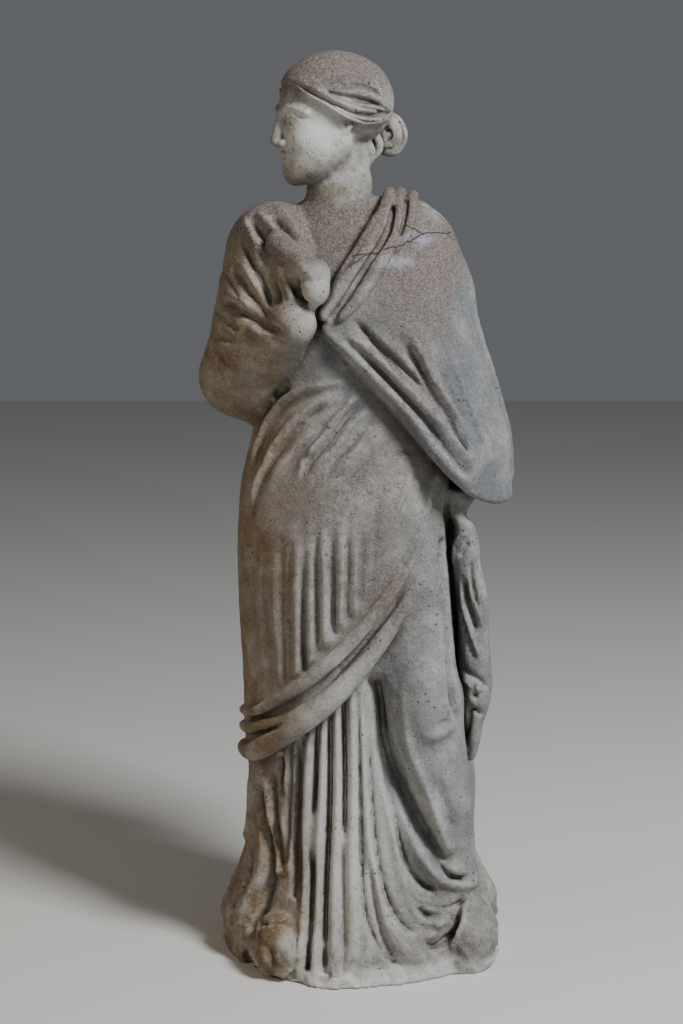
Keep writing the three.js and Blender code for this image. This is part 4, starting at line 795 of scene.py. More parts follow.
cape.carve(
    [[42, 720], [56, 700], [66, 683], [76, 663], [88, 643], [100, 626], [110, 611], [122, 594]],
    (5, 4),
    6,
    (0.25, 0.25),
)
cape.carve([[80, 680], [92, 654], [102, 632], [112, 613], [122, 596]], 4.4, -4.5, (0.3, 0.25), 1.6)
cape.carve(
    [[84, 705], [100, 675], [109, 652], [118, 631], [126, 611], [134, 587], [143, 567]], 3.5, 4, (0.3, 0.2)
)
cape.carve([[112, 668], [122, 648], [128, 622]], 7, -3, (0.3, 0.3))
cape.carve([[60, 772], [72, 730], [84, 700]], 10, 2, (0.3, 0.3))
around = dict(place=cape.around)
hanging = [[92, 800], [94, 700], [98, 520]], [[170, 800], [160, 700], [156, 520]]
cape.pleats(*hanging, 5, wide=9, high=6, ends=(0.3, 0.05), **around)
parting = [[102, 780], [104, 690], [106, 516]], [[162, 780], [154, 690], [150, 516]]
cape.pleats(*parting, 4, wide=6, high=-7, ends=(0.3, 0.05), **around)

# ------------------------------------------------------------------------------------------
# The bunch is the mantle's other edge, gathered into rolls that come over the left shoulder
# and run down to the hand.


def bunch_roll(line, thick, over):
    """A roll of the bunch: its way down the front, its radii from the back, its way over the top."""
    top = np.array(over, float)
    start = np.column_stack([top, np.full(len(top), 900.0)])
    seats = np.vstack([cape.drop(start, np.array([0.0, 0.0, -1.0])), cape.facing(np.array(line, float))])
    return rope(cape, seats, thick, 0.35)


inner_roll = [[32, 838], [28, 827], [19, 810], [6, 787], [-10, 764], [-24, 740], [-35, 722]]
outer_roll = [[44, 838], [43, 825], [38, 804], [26, 780], [12, 757], [-2, 737], [-16, 721]]
third_roll = [[58, 838], [57, 824], [52, 806], [42, 788]]
rolls = [
    bunch_roll(inner_roll, [3, 6, 7, 8, 10, 10, 10, 9, 7], [[38, 40], [36, 12]]),
    bunch_roll(outer_roll, [3, 6, 6, 6, 8, 9, 9, 8, 6], [[50, 38], [48, 12]]),
    bunch_roll(third_roll, [3, 6, 6, 6, 5, 3], [[62, 34], [61, 10]]),
]
bunch = Layer(blend(4, *rolls), cape_bed)
bunch.carve(
    [[38, 838], [34, 810], [26, 793], [13, 776], [2, 759], [-11, 740], [-21, 726], [-30, 714]],
    3,
    -8,
    (0.1, 0.1),
    1.6,
)
bunch.carve(
    [[24, 818], [12, 801], [3, 788], [-8, 772], [-17, 756], [-25, 741], [-32, 730]],
    1.8,
    -4,
    (0.2, 0.15),
    1.5,
)
bunch.carve([[53, 840], [49, 819], [42, 797]], 2, -5, (0.1, 0.3), 1.5)

# ------------------------------------------------------------------------------------------
# The right arm is bent up inside the mantle. Thick folds of the sleeve are drawn from the
# shoulder into the hand and thin ones run down the upper arm; a broad web crosses the back.
elbow = [-129, -22, 651]
arm = blend(16, limb([-95, 2, 783], 49, elbow, 40), limb(elbow, 40, [-68, -90, 712], 25))
over_arm = limb([-92, -30, 744], 44, [-106, -42, 690], 38)
drawn_edge = limb([-87, -8, 803], 36, [-62, -74, 766], 20)
yoke = limb([-50, 14, 796], 42, [-82, 18, 640], 42)
flap = limb([-128, 2, 646], 26, [-100, -6, 612], 22)
arm_cloth = blend(12, over_arm, drawn_edge, yoke, flap)


def sleeve_form(x, y, z):
    return join(arm(x, y, z), arm_cloth(x, y, z), 24)


def sleeve_bed(x, y, z):
    return np.minimum(sleeve_form(x, y, z), wrap(x, y, z))


sleeve = Layer(sleeve_form, sleeve_bed)
sleeve.carve([[-124, 824], [-118, 818], [-110, 803], [-98, 790], [-84, 776]], (5, 6), (5, 7), (0.25, 0.3))
sleeve.carve([[-107, 830], [-102, 824], [-89, 810], [-75, 797], [-62, 786]], (5, 6), (5, 7), (0.2, 0.3))
sleeve.carve([[-88, 838], [-80, 828], [-70, 816], [-56, 802], [-40, 788]], (5, 5), (5, 6), (0.2, 0.3))
sleeve.carve([[-116, 820], [-101, 800], [-87, 782]], (4.5, 5), (-8, -10), (0.2, 0.25), 1.6)
sleeve.carve([[-95, 811], [-80, 796], [-70, 782]], 2.4, -3.1, (0.3, 0.2), 1.5)
sleeve.carve([[-94, 829], [-77, 810], [-63, 794]], (4.5, 5), (-8, -10), (0.2, 0.25), 1.6)
thin = dict(high=-5, ends=(0.25, 0.15), power=1.6)
sleeve.carve([[-126, 803], [-117, 783], [-106, 763], [-98, 744], [-90, 728]], 2.8, **thin)
sleeve.carve([[-106, 776], [-98, 753], [-90, 736]], 4, **thin)
sleeve.carve([[-137, 773], [-122, 755], [-108, 736], [-92, 717]], 3.2, **thin)
sleeve.carve([[-148, 768], [-135, 752], [-122, 736]], 2.4, **thin)
sleeve.carve([[-112, 800], [-106, 780], [-98, 762]], 4, 3, (0.3, 0.3))
sleeve.carve([[-128, 780], [-112, 758], [-98, 736]], 4, 4, (0.3, 0.3))
sleeve.carve([[-140, 756], [-124, 740], [-108, 722]], 4, 4, (0.3, 0.3))
sleeve.carve(
    [[-153, 736], [-135, 730], [-119, 722], [-104, 715], [-89, 708], [-70, 703]],
    (4.6, 5.6),
    (-6.2, -9.4),
    (0.15, 0.2),
    1.6,
)
sleeve.carve([[-150, 744], [-134, 740], [-118, 732], [-102, 725]], 5, 3, (0.3, 0.3))
sleeve.carve([[-157, 726], [-140, 713], [-125, 701]], 3, -3.1, (0.2, 0.3), 1.5)
sleeve.carve([[-158, 695], [-148, 697], [-137, 695], [-126, 691]], (5.6, 3.6), (-7, -3.9), (0.2, 0.4), 1.6)
sleeve.carve([[-158, 688], [-144, 674], [-132, 660]], 2.4, -3, (0.3, 0.4), 1.5)
sleeve.carve([[-104, 702], [-85, 696], [-70, 694]], 3.6, -3.1, (0.3, 0.3), 1.5)
sleeve.carve([[-120, 712], [-102, 702], [-84, 698]], 5, 4, (0.3, 0.3))
around = dict(place=sleeve.around)
outer_arm = [[-112, 800], [-118, 740], [-124, 680]], [[-140, 800], [-146, 740], [-146, 680]]
sleeve.pleats(*outer_arm, 3, wide=8, high=5, ends=(0.3, 0.3), **around)

# ------------------------------------------------------------------------------------------
# The right hand is a loose, worn fist at the breast. It holds the gathered cloth, and a fold
# of the sleeve lies round the wrist like a cuff.
fist = blend(
    10,
    ball([-55, -96, 771], [12, 15, 12]),
    ball([-42, -98, 768], [13, 15, 13]),
    ball([-44, -101, 752], [15, 16, 16]),
    ball([-47, -97, 742], [12, 13, 10]),
    limb([-84, -60, 796], 14, [-62, -84, 778], 12),
)
cuff = chain(
    [
        [-84, -66, 784, 5],
        [-78, -82, 760, 7],
        [-70, -91, 741, 9],
        [-65, -90, 722, 13],
        [-66, -86, 706, 15],
        [-72, -78, 692, 17],
    ]
)
wrist = limb([-56, -90, 734], 14, [-84, -72, 694], 24)
hand = Layer(blend(6, fist, cuff, wrist))
hand.carve([[-74, 771], [-68, 758], [-63, 746], [-58, 736], [-48, 731]], 3.5, (-10, -8), (0.1, 0.15), 1.7)
hand.carve([[-84, 764], [-80, 750], [-74, 734]], 2.5, -4, (0.3, 0.2), 1.5)
hand.carve([[-60, 762], [-47, 758], [-34, 761]], 3, -1.5, (0.3, 0.3))

# ------------------------------------------------------------------------------------------
# Neck and head are turned to the figure's right. The head is worked in its own directions:
# forward, left and up from the middle of the skull.
turn = math.radians(68)
skull = np.array([-27.0, 0.0, 935.0])
to_front = np.array([-math.sin(turn), -math.cos(turn), 0])
to_left = np.array([math.cos(turn), -math.sin(turn), 0])


def in_head(form):
    def placed(x, y, z):
        px, py = x - skull[0], y - skull[1]
        f = px * to_front[0] + py * to_front[1]
        l = px * to_left[0] + py * to_left[1]
        return form(f, np.abs(l), z - skull[2])

    return placed


neck = Layer(
    blend(20, limb([-19, 6, 850], 31, [-18, 8, 890], 31), limb([-20, 8, 806], 47, [-19, 6, 850], 31)),
)


@in_head
def face_form(f, l, u):
    d = join(ball([-4, 0, 12], [62, 50, 50])(f, l, u), ball([20, 0, -26], [38, 37, 50])(f, l, u), 14)
    d = join(d, ball([12, 0, -46], [38, 34, 30])(f, l, u), 10)  # jaw
    d = join(d, limb([38, 10, -60], 11, [4, 34, -34], 12)(f, l, u), 12)
    d = join(d, ball([30, 20, -28], [20, 15, 18])(f, l, u), 10)  # cheek
    d = join(d, ball([43, 0, -67], [12, 14, 11])(f, l, u), 8)  # chin
    d = meet(d, -ball([60, 18, -9], [12, 14, 9])(f, l, u), 7)  # eye socket
    d = join(d, ball([42, 18, -9], [12, 12, 10])(f, l, u), 2)  # eye
    d = join(d, chain([[53, 8, -10, 1.6], [55.5, 14, -4, 2], [54, 21, -3, 2], [48, 28, -9, 1.6]])(f, l, u), 2)
    d = join(
        d,
        chain([[53, 9, -12, 1.2], [54, 15, -16, 1.5], [52, 22, -16, 1.5], [48, 27, -11, 1.2]])(f, l, u),
        2,
    )
    d = join(d, chain([[58, 6, 0, 3], [57, 14, 4, 3], [52, 24, 4, 3], [44, 34, -1, 3]])(f, l, u), 7)  # brow
    d = join(d, limb([57, 0, 0], 4.5, [66, 0, -29], 5)(f, l, u), 5)  # nose
    d = join(d, ball([65, 0, -31], [6, 5.5, 5])(f, l, u), 3)
    d = join(d, ball([59, 6.5, -33], [6, 4, 4.5])(f, l, u), 2)
    d = join(d, chain([[57.5, 0, -44, 2.6], [56.5, 5, -44.5, 2.6], [52, 12, -47, 1.6]])(f, l, u), 3)  # lips
    return join(d, chain([[56, 0, -51, 3.2], [55, 5, -50.5, 3], [51, 11, -48.5, 1.6]])(f, l, u), 3)


face = Layer(face_form)

# ------------------------------------------------------------------------------------------
# The hair is a smooth cap on the crown. Wavy locks are drawn back from the temples over the
# ears, and are looped into a small knot at the nape, with loose curls below.


@in_head
def cap_form(f, l, u):
    return meet(ball([-4, 0, 13], [65, 53, 53])(f, l, u), (0.69 * f - 7 - u) / 1.2, 5)


@in_head
def cap_bed(f, l, u):
    return ball([-4, 0, 13], [65, 53, 53])(f, l, u)


hair = Layer(cap_form, cap_bed)


def lock(line, thick, sunk=0.3):
    """A lock of hair given on the left side of the head, with its like on the right side."""
    seats = hair.facing(np.array(line, float))
    at = smooth_line(np.hstack([seats, np.array(thick, float)[:, None]]), 5)
    p = at[:, :3] + hair.facing_out(at[:, :3]) * at[:, 3:] * (1 - 2 * sunk) - skull
    beads = np.column_stack([p @ to_front, np.abs(p @ to_left), p[:, 2], at[:, 3]])
    return in_head(chain(beads))


locks = [
    lock([[-66, 962], [-56, 955], [-40, 946], [-24, 938], [-10, 931], [9, 927], [29, 929]], [0.4, 2, 3, 4.5, 5.5, 6, 5], 0.42),
    lock([[-54, 962], [-42, 957], [-22, 947], [-7, 941], [14, 939], [32, 940]], [1, 2.5, 3.5, 4, 5, 4], 0.35),
    lock([[-44, 960], [-22, 956], [3, 954], [20, 949], [33, 940]], [1.5, 3, 5, 5, 4], 0.35),
    lock([[-26, 961], [-14, 966], [6, 966], [24, 957], [34, 945]], [1.5, 2.5, 3.5, 3.5, 3], 0.4),
]
hair_roll = Layer(blend(5, *locks), cap_bed)
strand = dict(wide=1.5, high=-2.4, ends=(0.12, 0.12), power=1.5)
hair_roll.carve([[-60, 960], [-40, 949], [-22, 941], [-8, 934], [10, 931], [28, 932]], **strand)
hair_roll.carve([[-56, 950], [-38, 941], [-22, 932], [-8, 925], [10, 921], [26, 923]], **strand)
hair_roll.carve([[-48, 953], [-34, 947], [-20, 936], [-6, 930], [8, 926], [24, 927]], **strand)
hair_roll.carve([[-36, 956], [-18, 950], [2, 946], [18, 943], [30, 937]], **strand)
hair_roll.carve([[-30, 952], [-14, 946], [0, 940], [14, 938], [28, 935]], **strand)
hair_roll.carve([[-20, 961], [0, 960], [16, 955], [30, 944]], **strand)
hair_roll.carve([[-16, 966], [2, 966], [18, 961], [31, 950]], **strand)
combed = dict(wide=2.2, high=-0.9, ends=(0.25, 0.2))
hair.pleats(
    [[-58, 974], [-36, 968], [-10, 972], [18, 966]],
    [[-46, 986], [-28, 988], [-4, 988], [16, 982]],
    4,
    **combed,
)


def curl(*beads):
    return chain(smooth_line(beads, 4))


loop = curl(
    [34, 32, 934, 5], [45, 34, 926, 6], [50, 36, 911, 6.5], [42, 35, 896, 6], [30, 33, 897, 6],
    [28, 31, 912, 5],
)
inside_loop = curl([33, 27, 927, 5], [40, 28, 917, 6.5], [39, 29, 905, 6], [32, 28, 902, 5])
knot = Layer(blend(3, loop, inside_loop, ball([31, 42, 914], [18, 17, 20])))
curls = curl([15, 14, 916, 5], [21, 18, 908, 6], [23, 20, 898, 6], [18, 18, 890, 5])
nape_curl = curl([8, 0, 906, 5], [13, 4, 898, 6], [15, 6, 888, 5], [10, 4, 880, 4])
nape = Layer(blend(3, curls, nape_curl))
coil = dict(wide=1.8, high=-2.6, ends=(0.15, 0.15), power=1.5)
knot.carve([[31, 936], [42, 932], [49, 921], [50, 908], [44, 897]], **coil)
knot.carve([[30, 928], [39, 926], [44, 916], [42, 905], [34, 900]], **coil)
knot.carve([[30, 918], [36, 916], [37, 909], [31, 906]], **coil)

# ------------------------------------------------------------------------------------------
# The ears lie mostly under the locks: only the lobe and the notch before it come out.


@in_head
def ear_form(f, l, u):
    d = chain([[-2, 43, -8, 3.5], [-3, 45, -15, 3.2], [2, 43, -22, 3.2]])(f, l, u)
    return join(d, ball([5, 42, -14], [3, 3, 3.5])(f, l, u), 2)


ear = Layer(ear_form)

# ------------------------------------------------------------------------------------------
# The whole figure is cut from its block in one go: the masses are joined, a lattice that
# narrows towards the head samples them near their surface, and the skin is drawn through it.
masses = [plinth, chiton, foot, mantle, hem_roll, tail, cape, bunch, sleeve, hand]
masses += [neck, face, hair, hair_roll, knot, nape, ear]


chips = [
    ([66, -106, 590], 7),
    ([-109, -64, 459], 3.5),
    ([51, -104, 404], 6),
    ([44, -112, 416], 4),
    ([-64, -104, 664], 4),
    ([150, -84, 14], 12),
    ([30, -156, 12], 9),
    ([-118, -86, 8], 10),
]
rough = np.random.default_rng(11).random((32, 32, 32)) - 0.5


def wear(x, y, z, size):
    """An uneven skin of soft bumps, about size apart."""
    at = [value / size + 400 for value in (x, y, z)]
    cell_at = [np.floor(value).astype(int) for value in at]
    t = [value - base for value, base in zip(at, cell_at)]
    t = [value * value * (3 - 2 * value) for value in t]
    total = 0
    for corner in range(8):
        step = [corner & 1, corner >> 1 & 1, corner >> 2 & 1]
        weight = 1
        for value, way in zip(t, step):
            weight = weight * (value if way else 1 - value)
        total = total + weight * rough[tuple((base + way) % 32 for base, way in zip(cell_at, step))]
    return total


def stone(x, y, z):
    d = np.full(x.shape, 60.0)
    for mass in masses:
        d = join(d, mass.distance(x, y, z), 3)
    for centre, radius in chips:
        d = meet(d, -ball(centre, [radius] * 3)(x, y, z), 2)
    return np.maximum(d, -z)


def worn_stone(x, y, z):
    on_face = ease(880, 900, z) * ease(-30, -50, x + 0.4 * y)
    low_down = ease(90, 40, z) * ease(100, 125, np.hypot(x, y))  # plinth and foot are the roughest
    bumps = wear(x, y, z, 12) * (0.7 + 5 * low_down) + wear(x, y, z, 5) * (0.6 + 2.5 * low_down)
    d = stone(x, y, z) + bumps * (1 - 0.75 * on_face)
    return np.maximum(d, -z)


cell = 2.7
fine = 0.5  # the head's cells against the body's
half_x = math.ceil(186 / cell)
half_y = math.ceil(162 / cell)
levels = [-cell / 2]
while levels[-1] < 1010:
    levels.append(levels[-1] + cell * mix(1, fine, ease(790, 870, levels[-1])))
levels = np.array(levels)
narrowing = ease(790, 870, levels)
pitch = cell * mix(1, fine, narrowing)
drift = -16 * narrowing
shape = (len(levels), 2 * half_y + 1, 2 * half_x + 1)


def lattice(k, j, i):
    """Where a node, or a place between nodes, of the lattice lies."""
    s = np.interp(k, np.arange(len(levels)), pitch)
    x = np.interp(k, np.arange(len(levels)), drift) + (i - half_x) * s
    return x, (j - half_y) * s, np.interp(k, np.arange(len(levels)), levels)


def sample_near_skin():
    coarse = 3
    rows = [np.unique(np.r_[np.arange(0, n, coarse), n - 1]) for n in shape]
    grid = np.meshgrid(*rows, indexing="ij")
    rough = stone(*[v.ravel() for v in lattice(*[g.ravel().astype(float) for g in grid])])
    rough = rough.reshape(grid[0].shape)
    for axis, n in enumerate(shape):
        full = np.arange(n)
        at = np.clip(np.searchsorted(rows[axis], full, side="right") - 1, 0, len(rows[axis]) - 2)
        t = (full - rows[axis][at]) / (rows[axis][at + 1] - rows[axis][at])
        t = t.reshape([-1 if a == axis else 1 for a in range(3)])
        rough = mix(np.take(rough, at, axis), np.take(rough, at + 1, axis), t)
    band = 3.4 * pitch[:, None, None] * np.ones(shape)
    near = np.flatnonzero(np.abs(rough) < band)
    where = np.unravel_index(near, shape)
    rough.ravel()[near] = stone(*lattice(*[w.astype(float) for w in where]))
    return rough


def draw_skin(values):
    """One point in every cell that the surface crosses, and a face across every crossed edge."""
    inside = values < 0
    cells = tuple(n - 1 for n in shape)
    count = np.zeros(cells, np.int8)
    corners = [(a, b, c) for a in (0, 1) for b in (0, 1) for c in (0, 1)]

    def corner(array, a, b, c):
        return array[a : cells[0] + a, b : cells[1] + b, c : cells[2] + c]

    for a, b, c in corners:
        count += corner(inside, a, b, c)
    crossed = np.argwhere((count > 0) & (count < 8))
    number = np.full(cells, -1)
    number[tuple(crossed.T)] = np.arange(len(crossed))
    total = np.zeros((len(crossed), 3))
    hits = np.zeros(len(crossed))
    for start in corners:
        for axis in range(3):
            if start[axis]:
                continue
            stop = tuple(1 if n == axis else s for n, s in enumerate(start))
            p = values[tuple((crossed + start).T)]
            q = values[tuple((crossed + stop).T)]
            cut = (p < 0) != (q < 0)
            t = p[cut] / (p[cut] - q[cut])
            total[cut] += crossed[cut] + start
            total[cut, axis] += t
            hits[cut] += 1
    points = np.stack(lattice(*(total / hits[:, None]).T), 1)
    faces = []
    for axis in range(3):
        side, other = (axis + 1) % 3, (axis + 2) % 3
        first = np.take(inside, np.arange(shape[axis] - 1), axis)
        second = np.take(inside, np.arange(1, shape[axis]), axis)
        at = np.argwhere(first != second)
        at = at[(at[:, side] > 0) & (at[:, other] > 0)]
        at = at[(at[:, side] < cells[side]) & (at[:, other] < cells[other])]
        ring = []
        for back_side, back_other in ((0, 0), (1, 0), (1, 1), (0, 1)):
            cell_at = at.copy()
            cell_at[:, side] -= back_side
            cell_at[:, other] -= back_other
            ring.append(number[tuple(cell_at.T)])
        ring = np.stack(ring, 1)
        outward = first[tuple(at.T)]
        # x, y, z run the other way round from the lattice's own k, j, i
        faces.append(np.where(outward[:, None], ring[:, ::-1], ring))
    return points, np.vstack(faces)


def press_to_surface(p, rounds):
    """Moves points onto the stone's exact surface."""
    step = 0.3
    for _ in range(rounds):
        d = worn_stone(*p.T)
        slope = np.stack([stone(*(p + axis).T) for axis in np.eye(3) * step], 1)
        slope = (slope - stone(*p.T)[:, None]) / step
        steep = np.maximum((slope**2).sum(1), 0.3)
        p = p - slope * (np.clip(d, -3, 3) / steep)[:, None]
    return p


skin, faces = draw_skin(sample_near_skin())
flat = skin[:, 2] < 0.01
skin = np.where(flat[:, None], skin, press_to_surface(skin, 2))
skin[:, 2] = np.maximum(skin[:, 2], 0)
middle = (skin.min(0) + skin.max(0)) / 2
middle[2] = 0
place = Vector(((low[0] + high[0]) / 2, (low[1] + high[1]) / 2, low[2]))

mesh = bpy.data.meshes.new("statue_marble")
mesh.vertices.add(len(skin))
mesh.vertices.foreach_set("co", ((skin - middle) / 1000 + np.array(place)).ravel())
mesh.loops.add(4 * len(faces))
mesh.loops.foreach_set("vertex_index", faces.ravel())
mesh.polygons.add(len(faces))
mesh.polygons.foreach_set("loop_start", np.arange(0, 4 * len(faces), 4))
mesh.update(calc_edges=True)
statue = bpy.data.objects.new("marble_figure", mesh)
bpy.context.scene.collection.objects.link(statue)

thin = statue.modifiers.new("fewer faces", "DECIMATE")
most_triangles = 190000
thin.ratio = min(1.0, most_triangles / (2 * len(faces)))
cut = bpy.data.meshes.new_from_object(statue.evaluated_get(bpy.context.evaluated_depsgraph_get()))
statue.modifiers.clear()
statue.data = cut
cut.shade_smooth()
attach(statue, "root")
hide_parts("statue")

# ------------------------------------------------------------------------------------------
# The marble is fine grained and long weathered: a rosy brown crust lies on what faces the rain.
# Ochre stains the right arm and foot, with painted warm shade over the figure's whole right side;
# cool grey on the cape, the free leg and the waist is partly painted bluish shade; the pale patch
# on the knee is a painted highlight; and every hollow is darkened with dirt and painted shade.
points = np.empty(3 * len(cut.vertices))
cut.vertices.foreach_get("co", points)
points = (points.reshape(-1, 3) - np.array(place)) * 1000 + middle
normals = np.empty(3 * len(cut.vertices))
cut.vertex_normals.foreach_get("vector", normals)
normals = normals.reshape(-1, 3)


def hollow_at(depth):
    """How far the stone closes round a point: 0 on a flat face, 1 in a deep fold, below 0 on an edge."""
    return 1 - stone(*(points + normals * depth).T) / depth


def record(name, values):
    layer = cut.attributes.new(name, "FLOAT", "POINT")
    layer.data.foreach_set("value", np.clip(values, 0, 1).astype(np.float32))


def patch(centre, radii):
    """A soft-edged cloud of colour."""
    away = (points - np.array(centre)) / np.array(radii)
    return np.exp(-((away**2).sum(1) ** 1.5))


px, py, pz = points.T
on_face = ease(868, 884, pz) * ease(-20, -34, px + 0.35 * py)
# how deep each point lies in a fold; below, the colour is darkened there with dirt and painted shade
folds = 0.4 * hollow_at(4) + 0.7 * hollow_at(11)
record("hollow", folds * 0.9 * (1 - 0.6 * on_face))
record("edge", -hollow_at(5) * 1.4)
upward = np.clip(normals[:, 2], 0, 1)
cover = 1.2 * patch([-30, 10, 985], [70, 75, 46]) + 0.9 * patch([-78, -20, 812], [62, 90, 46])
cover += 0.8 * patch([0, -60, 800], [44, 60, 36]) + 1.1 * patch([70, 0, 815], [60, 100, 56])
cover += 0.5 * patch([66, -80, 750], [60, 70, 66]) + 0.35 * patch([-20, -100, 540], [80, 60, 66])
cover += 0.6 * patch([24, -130, 430], [62, 60, 50]) + 0.3 * patch([60, -90, 640], [60, 60, 60]) + 0.35 * upward * (pz > 500)
record("rosy", cover)
# Ochre: real ochre stain, strongest at the right foot, plus painted warm shade over the whole right side of
# the figure and the front of its hair.
on_right = 0.95 * ease(-30, -108, px) + 0.5 * patch([-90, -90, 60], [90, 90, 90])
record("ochre_and_side_shade", on_right * ease(900, 820, pz) + 0.6 * ease(-78, -92, px) * (pz > 880))
# Cool grey on the cape, the free leg and below the cape's edge: partly grey weathering, partly painted bluish
# shade.
on_cape = ease(-4, 4, cape_form(px, py, pz) * -1 + 9) * ease(20, 60, px + (pz - 640) * 0.2)
on_leg = patch([90, -60, 280], [66, 90, 220])
record("grey_and_bluish_shade", 0.8 * np.maximum(on_cape, on_leg) + 0.6 * patch([0, -90, 650], [80, 70, 66]))
chalk_and_highlight = patch([-46, -50, 915], [44, 70, 46])
chalk_and_highlight += 0.75 * patch([-6, -120, 180], [66, 60, 140])
chalk_and_highlight += 0.85 * ease(26, 14, pz)
chalk_and_highlight += 0.7 * patch([-66, -120, 40], [34, 46, 34])
# the pale patch on the knee is a painted highlight
chalk_and_highlight += 0.55 * patch([90, -110, 270], [36, 60, 110])
chalk_and_highlight += 0.5 * patch([-46, -100, 752], [22, 40, 30])
record("chalk_and_highlight", chalk_and_highlight)
record("green", patch([-25, -30, 860], [44, 60, 34]))
record("mend", patch([66, -60, 802], [16, 60, 8]) + patch([40, -80, 778], [24, 60, 7]))

marble = bpy.data.materials.new("marble")
marble.use_nodes = True
nodes, links = marble.node_tree.nodes, marble.node_tree.links
shader = nodes["Principled BSDF"]
where = nodes.new("ShaderNodeTexCoord").outputs["Object"]


def feed(socket, value):
    if isinstance(value, (int, float, tuple)):
        socket.default_value = value
    else:
        links.new(value, socket)


def grain(size, detail=4, rough=0.6):
    node = nodes.new("ShaderNodeTexNoise")
    links.new(where, node.inputs["Vector"])
    node.inputs["Scale"].default_value = 1 / size
    node.inputs["Detail"].default_value = detail
    node.inputs["Roughness"].default_value = rough
    return node.outputs["Fac"]


def between_limits(value, start, stop, low=0.0, high=1.0):
    node = nodes.new("ShaderNodeMapRange")
    node.interpolation_type = "SMOOTHSTEP"
    feed(node.inputs["Value"], value)
    for name, number in (("From Min", start), ("From Max", stop), ("To Min", low), ("To Max", high)):
        node.inputs[name].default_value = number
    return node.outputs["Result"]


def sum_of(operation, a, b):
    node = nodes.new("ShaderNodeMath")
    node.operation = operation
    feed(node.inputs[0], a)
    feed(node.inputs[1], b)
    return node.outputs[0]


def specks(size):
    """Grains of the stone, each with a value of its own between 0 and 1."""
    node = nodes.new("ShaderNodeTexVoronoi")
    links.new(where, node.inputs["Vector"])
    node.inputs["Scale"].default_value = 1 / size
    return node.outputs["Color"]


def recorded(name):
    node = nodes.new("ShaderNodeAttribute")
    node.attribute_name = name
    return node.outputs["Fac"]


def tinted(colour, amount, over):
    node = nodes.new("ShaderNodeMix")
    node.data_type = "RGBA"
    feed(node.inputs["Factor"], amount)
    feed(node.inputs["A"], over)
    feed(node.inputs["B"], (*colour, 1))
    return node.outputs["Result"]


def pits(spacing, size, amount):
    """Small holes in the stone, 1 inside a hole."""
    node = nodes.new("ShaderNodeTexVoronoi")
    links.new(where, node.inputs["Vector"])
    node.inputs["Scale"].default_value = 1 / spacing
    hole = between_limits(node.outputs["Distance"], size, size * 0.5)
    return sum_of("MULTIPLY", hole, between_limits(grain(spacing * 7, 2), 1 - amount, 1.05 - amount))


colour = tinted((0.2, 0.19, 0.175), between_limits(grain(0.05, 6, 0.7), 0.38, 0.62), (0.37, 0.36, 0.335, 1))
# whitened stone, and a painted highlight on the knee
colour = tinted((0.68, 0.68, 0.66), sum_of("MULTIPLY", recorded("chalk_and_highlight"), 0.9), colour)
# painted bluish shade, mixed with grey weathering
grey_and_bluish_shade = sum_of("MULTIPLY", recorded("grey_and_bluish_shade"), between_limits(grain(0.05), 0.3, 0.6, 0.5, 1.0))
colour = tinted((0.135, 0.155, 0.18), grey_and_bluish_shade, colour)
# painted warm shade on the figure's right side, mixed with its ochre stain
ochre_and_side_shade = sum_of("MULTIPLY", recorded("ochre_and_side_shade"), between_limits(grain(0.035, 5), 0.3, 0.65, 0.35, 1.0))
colour = tinted((0.16, 0.1, 0.038), ochre_and_side_shade, colour)
green = sum_of("MULTIPLY", recorded("green"), between_limits(grain(0.018), 0.4, 0.65))
colour = tinted((0.19, 0.19, 0.12), green, colour)
rosy = recorded("rosy")
patchy = between_limits(sum_of("ADD", grain(0.014, 5, 0.7), sum_of("MULTIPLY", rosy, 0.5)), 0.52, 0.85)
crust = sum_of("MULTIPLY", patchy, between_limits(rosy, 0.02, 0.5))
colour = tinted((0.1, 0.088, 0.082), sum_of("MULTIPLY", rosy, 0.55), colour)
colour = tinted((0.12, 0.092, 0.082), sum_of("MULTIPLY", crust, 0.85), colour)
dark_grains = sum_of("MULTIPLY", between_limits(specks(0.0016), 0.48, 0.68), sum_of("ADD", crust, 0.12))
colour = tinted((0.1, 0.074, 0.064), sum_of("MULTIPLY", dark_grains, 0.5), colour)
pale_grains = sum_of("MULTIPLY", between_limits(specks(0.0013), 0.52, 0.7), sum_of("ADD", crust, 0.05))
colour = tinted((0.34, 0.295, 0.272), sum_of("MULTIPLY", pale_grains, 0.4), colour)
soot = between_limits(grain(0.011, 6, 0.75), 0.5, 0.68)
dull = sum_of("SUBTRACT", 0.6, sum_of("MULTIPLY", recorded("chalk_and_highlight"), 0.5))
colour = tinted((0.14, 0.122, 0.105), sum_of("MULTIPLY", soot, dull), colour)
flecks = between_limits(grain(0.003, 4, 0.7), 0.54, 0.68)
dull = sum_of("SUBTRACT", 0.6, sum_of("MULTIPLY", recorded("chalk_and_highlight"), 0.45))
colour = tinted((0.085, 0.07, 0.058), sum_of("MULTIPLY", flecks, dull), colour)
light_flecks = between_limits(specks(0.0019), 0.56, 0.72)
colour = tinted((0.52, 0.5, 0.47), sum_of("MULTIPLY", light_flecks, 0.12), colour)
# hollows painted darker, partly as settled dirt and partly as painted shade
dirt_and_shade = sum_of("ADD", recorded("hollow"), sum_of("MULTIPLY", sum_of("SUBTRACT", grain(0.012), 0.5), 0.5))
colour = tinted((0.1, 0.075, 0.052), between_limits(dirt_and_shade, 0.12, 0.8, 0.0, 0.78), colour)
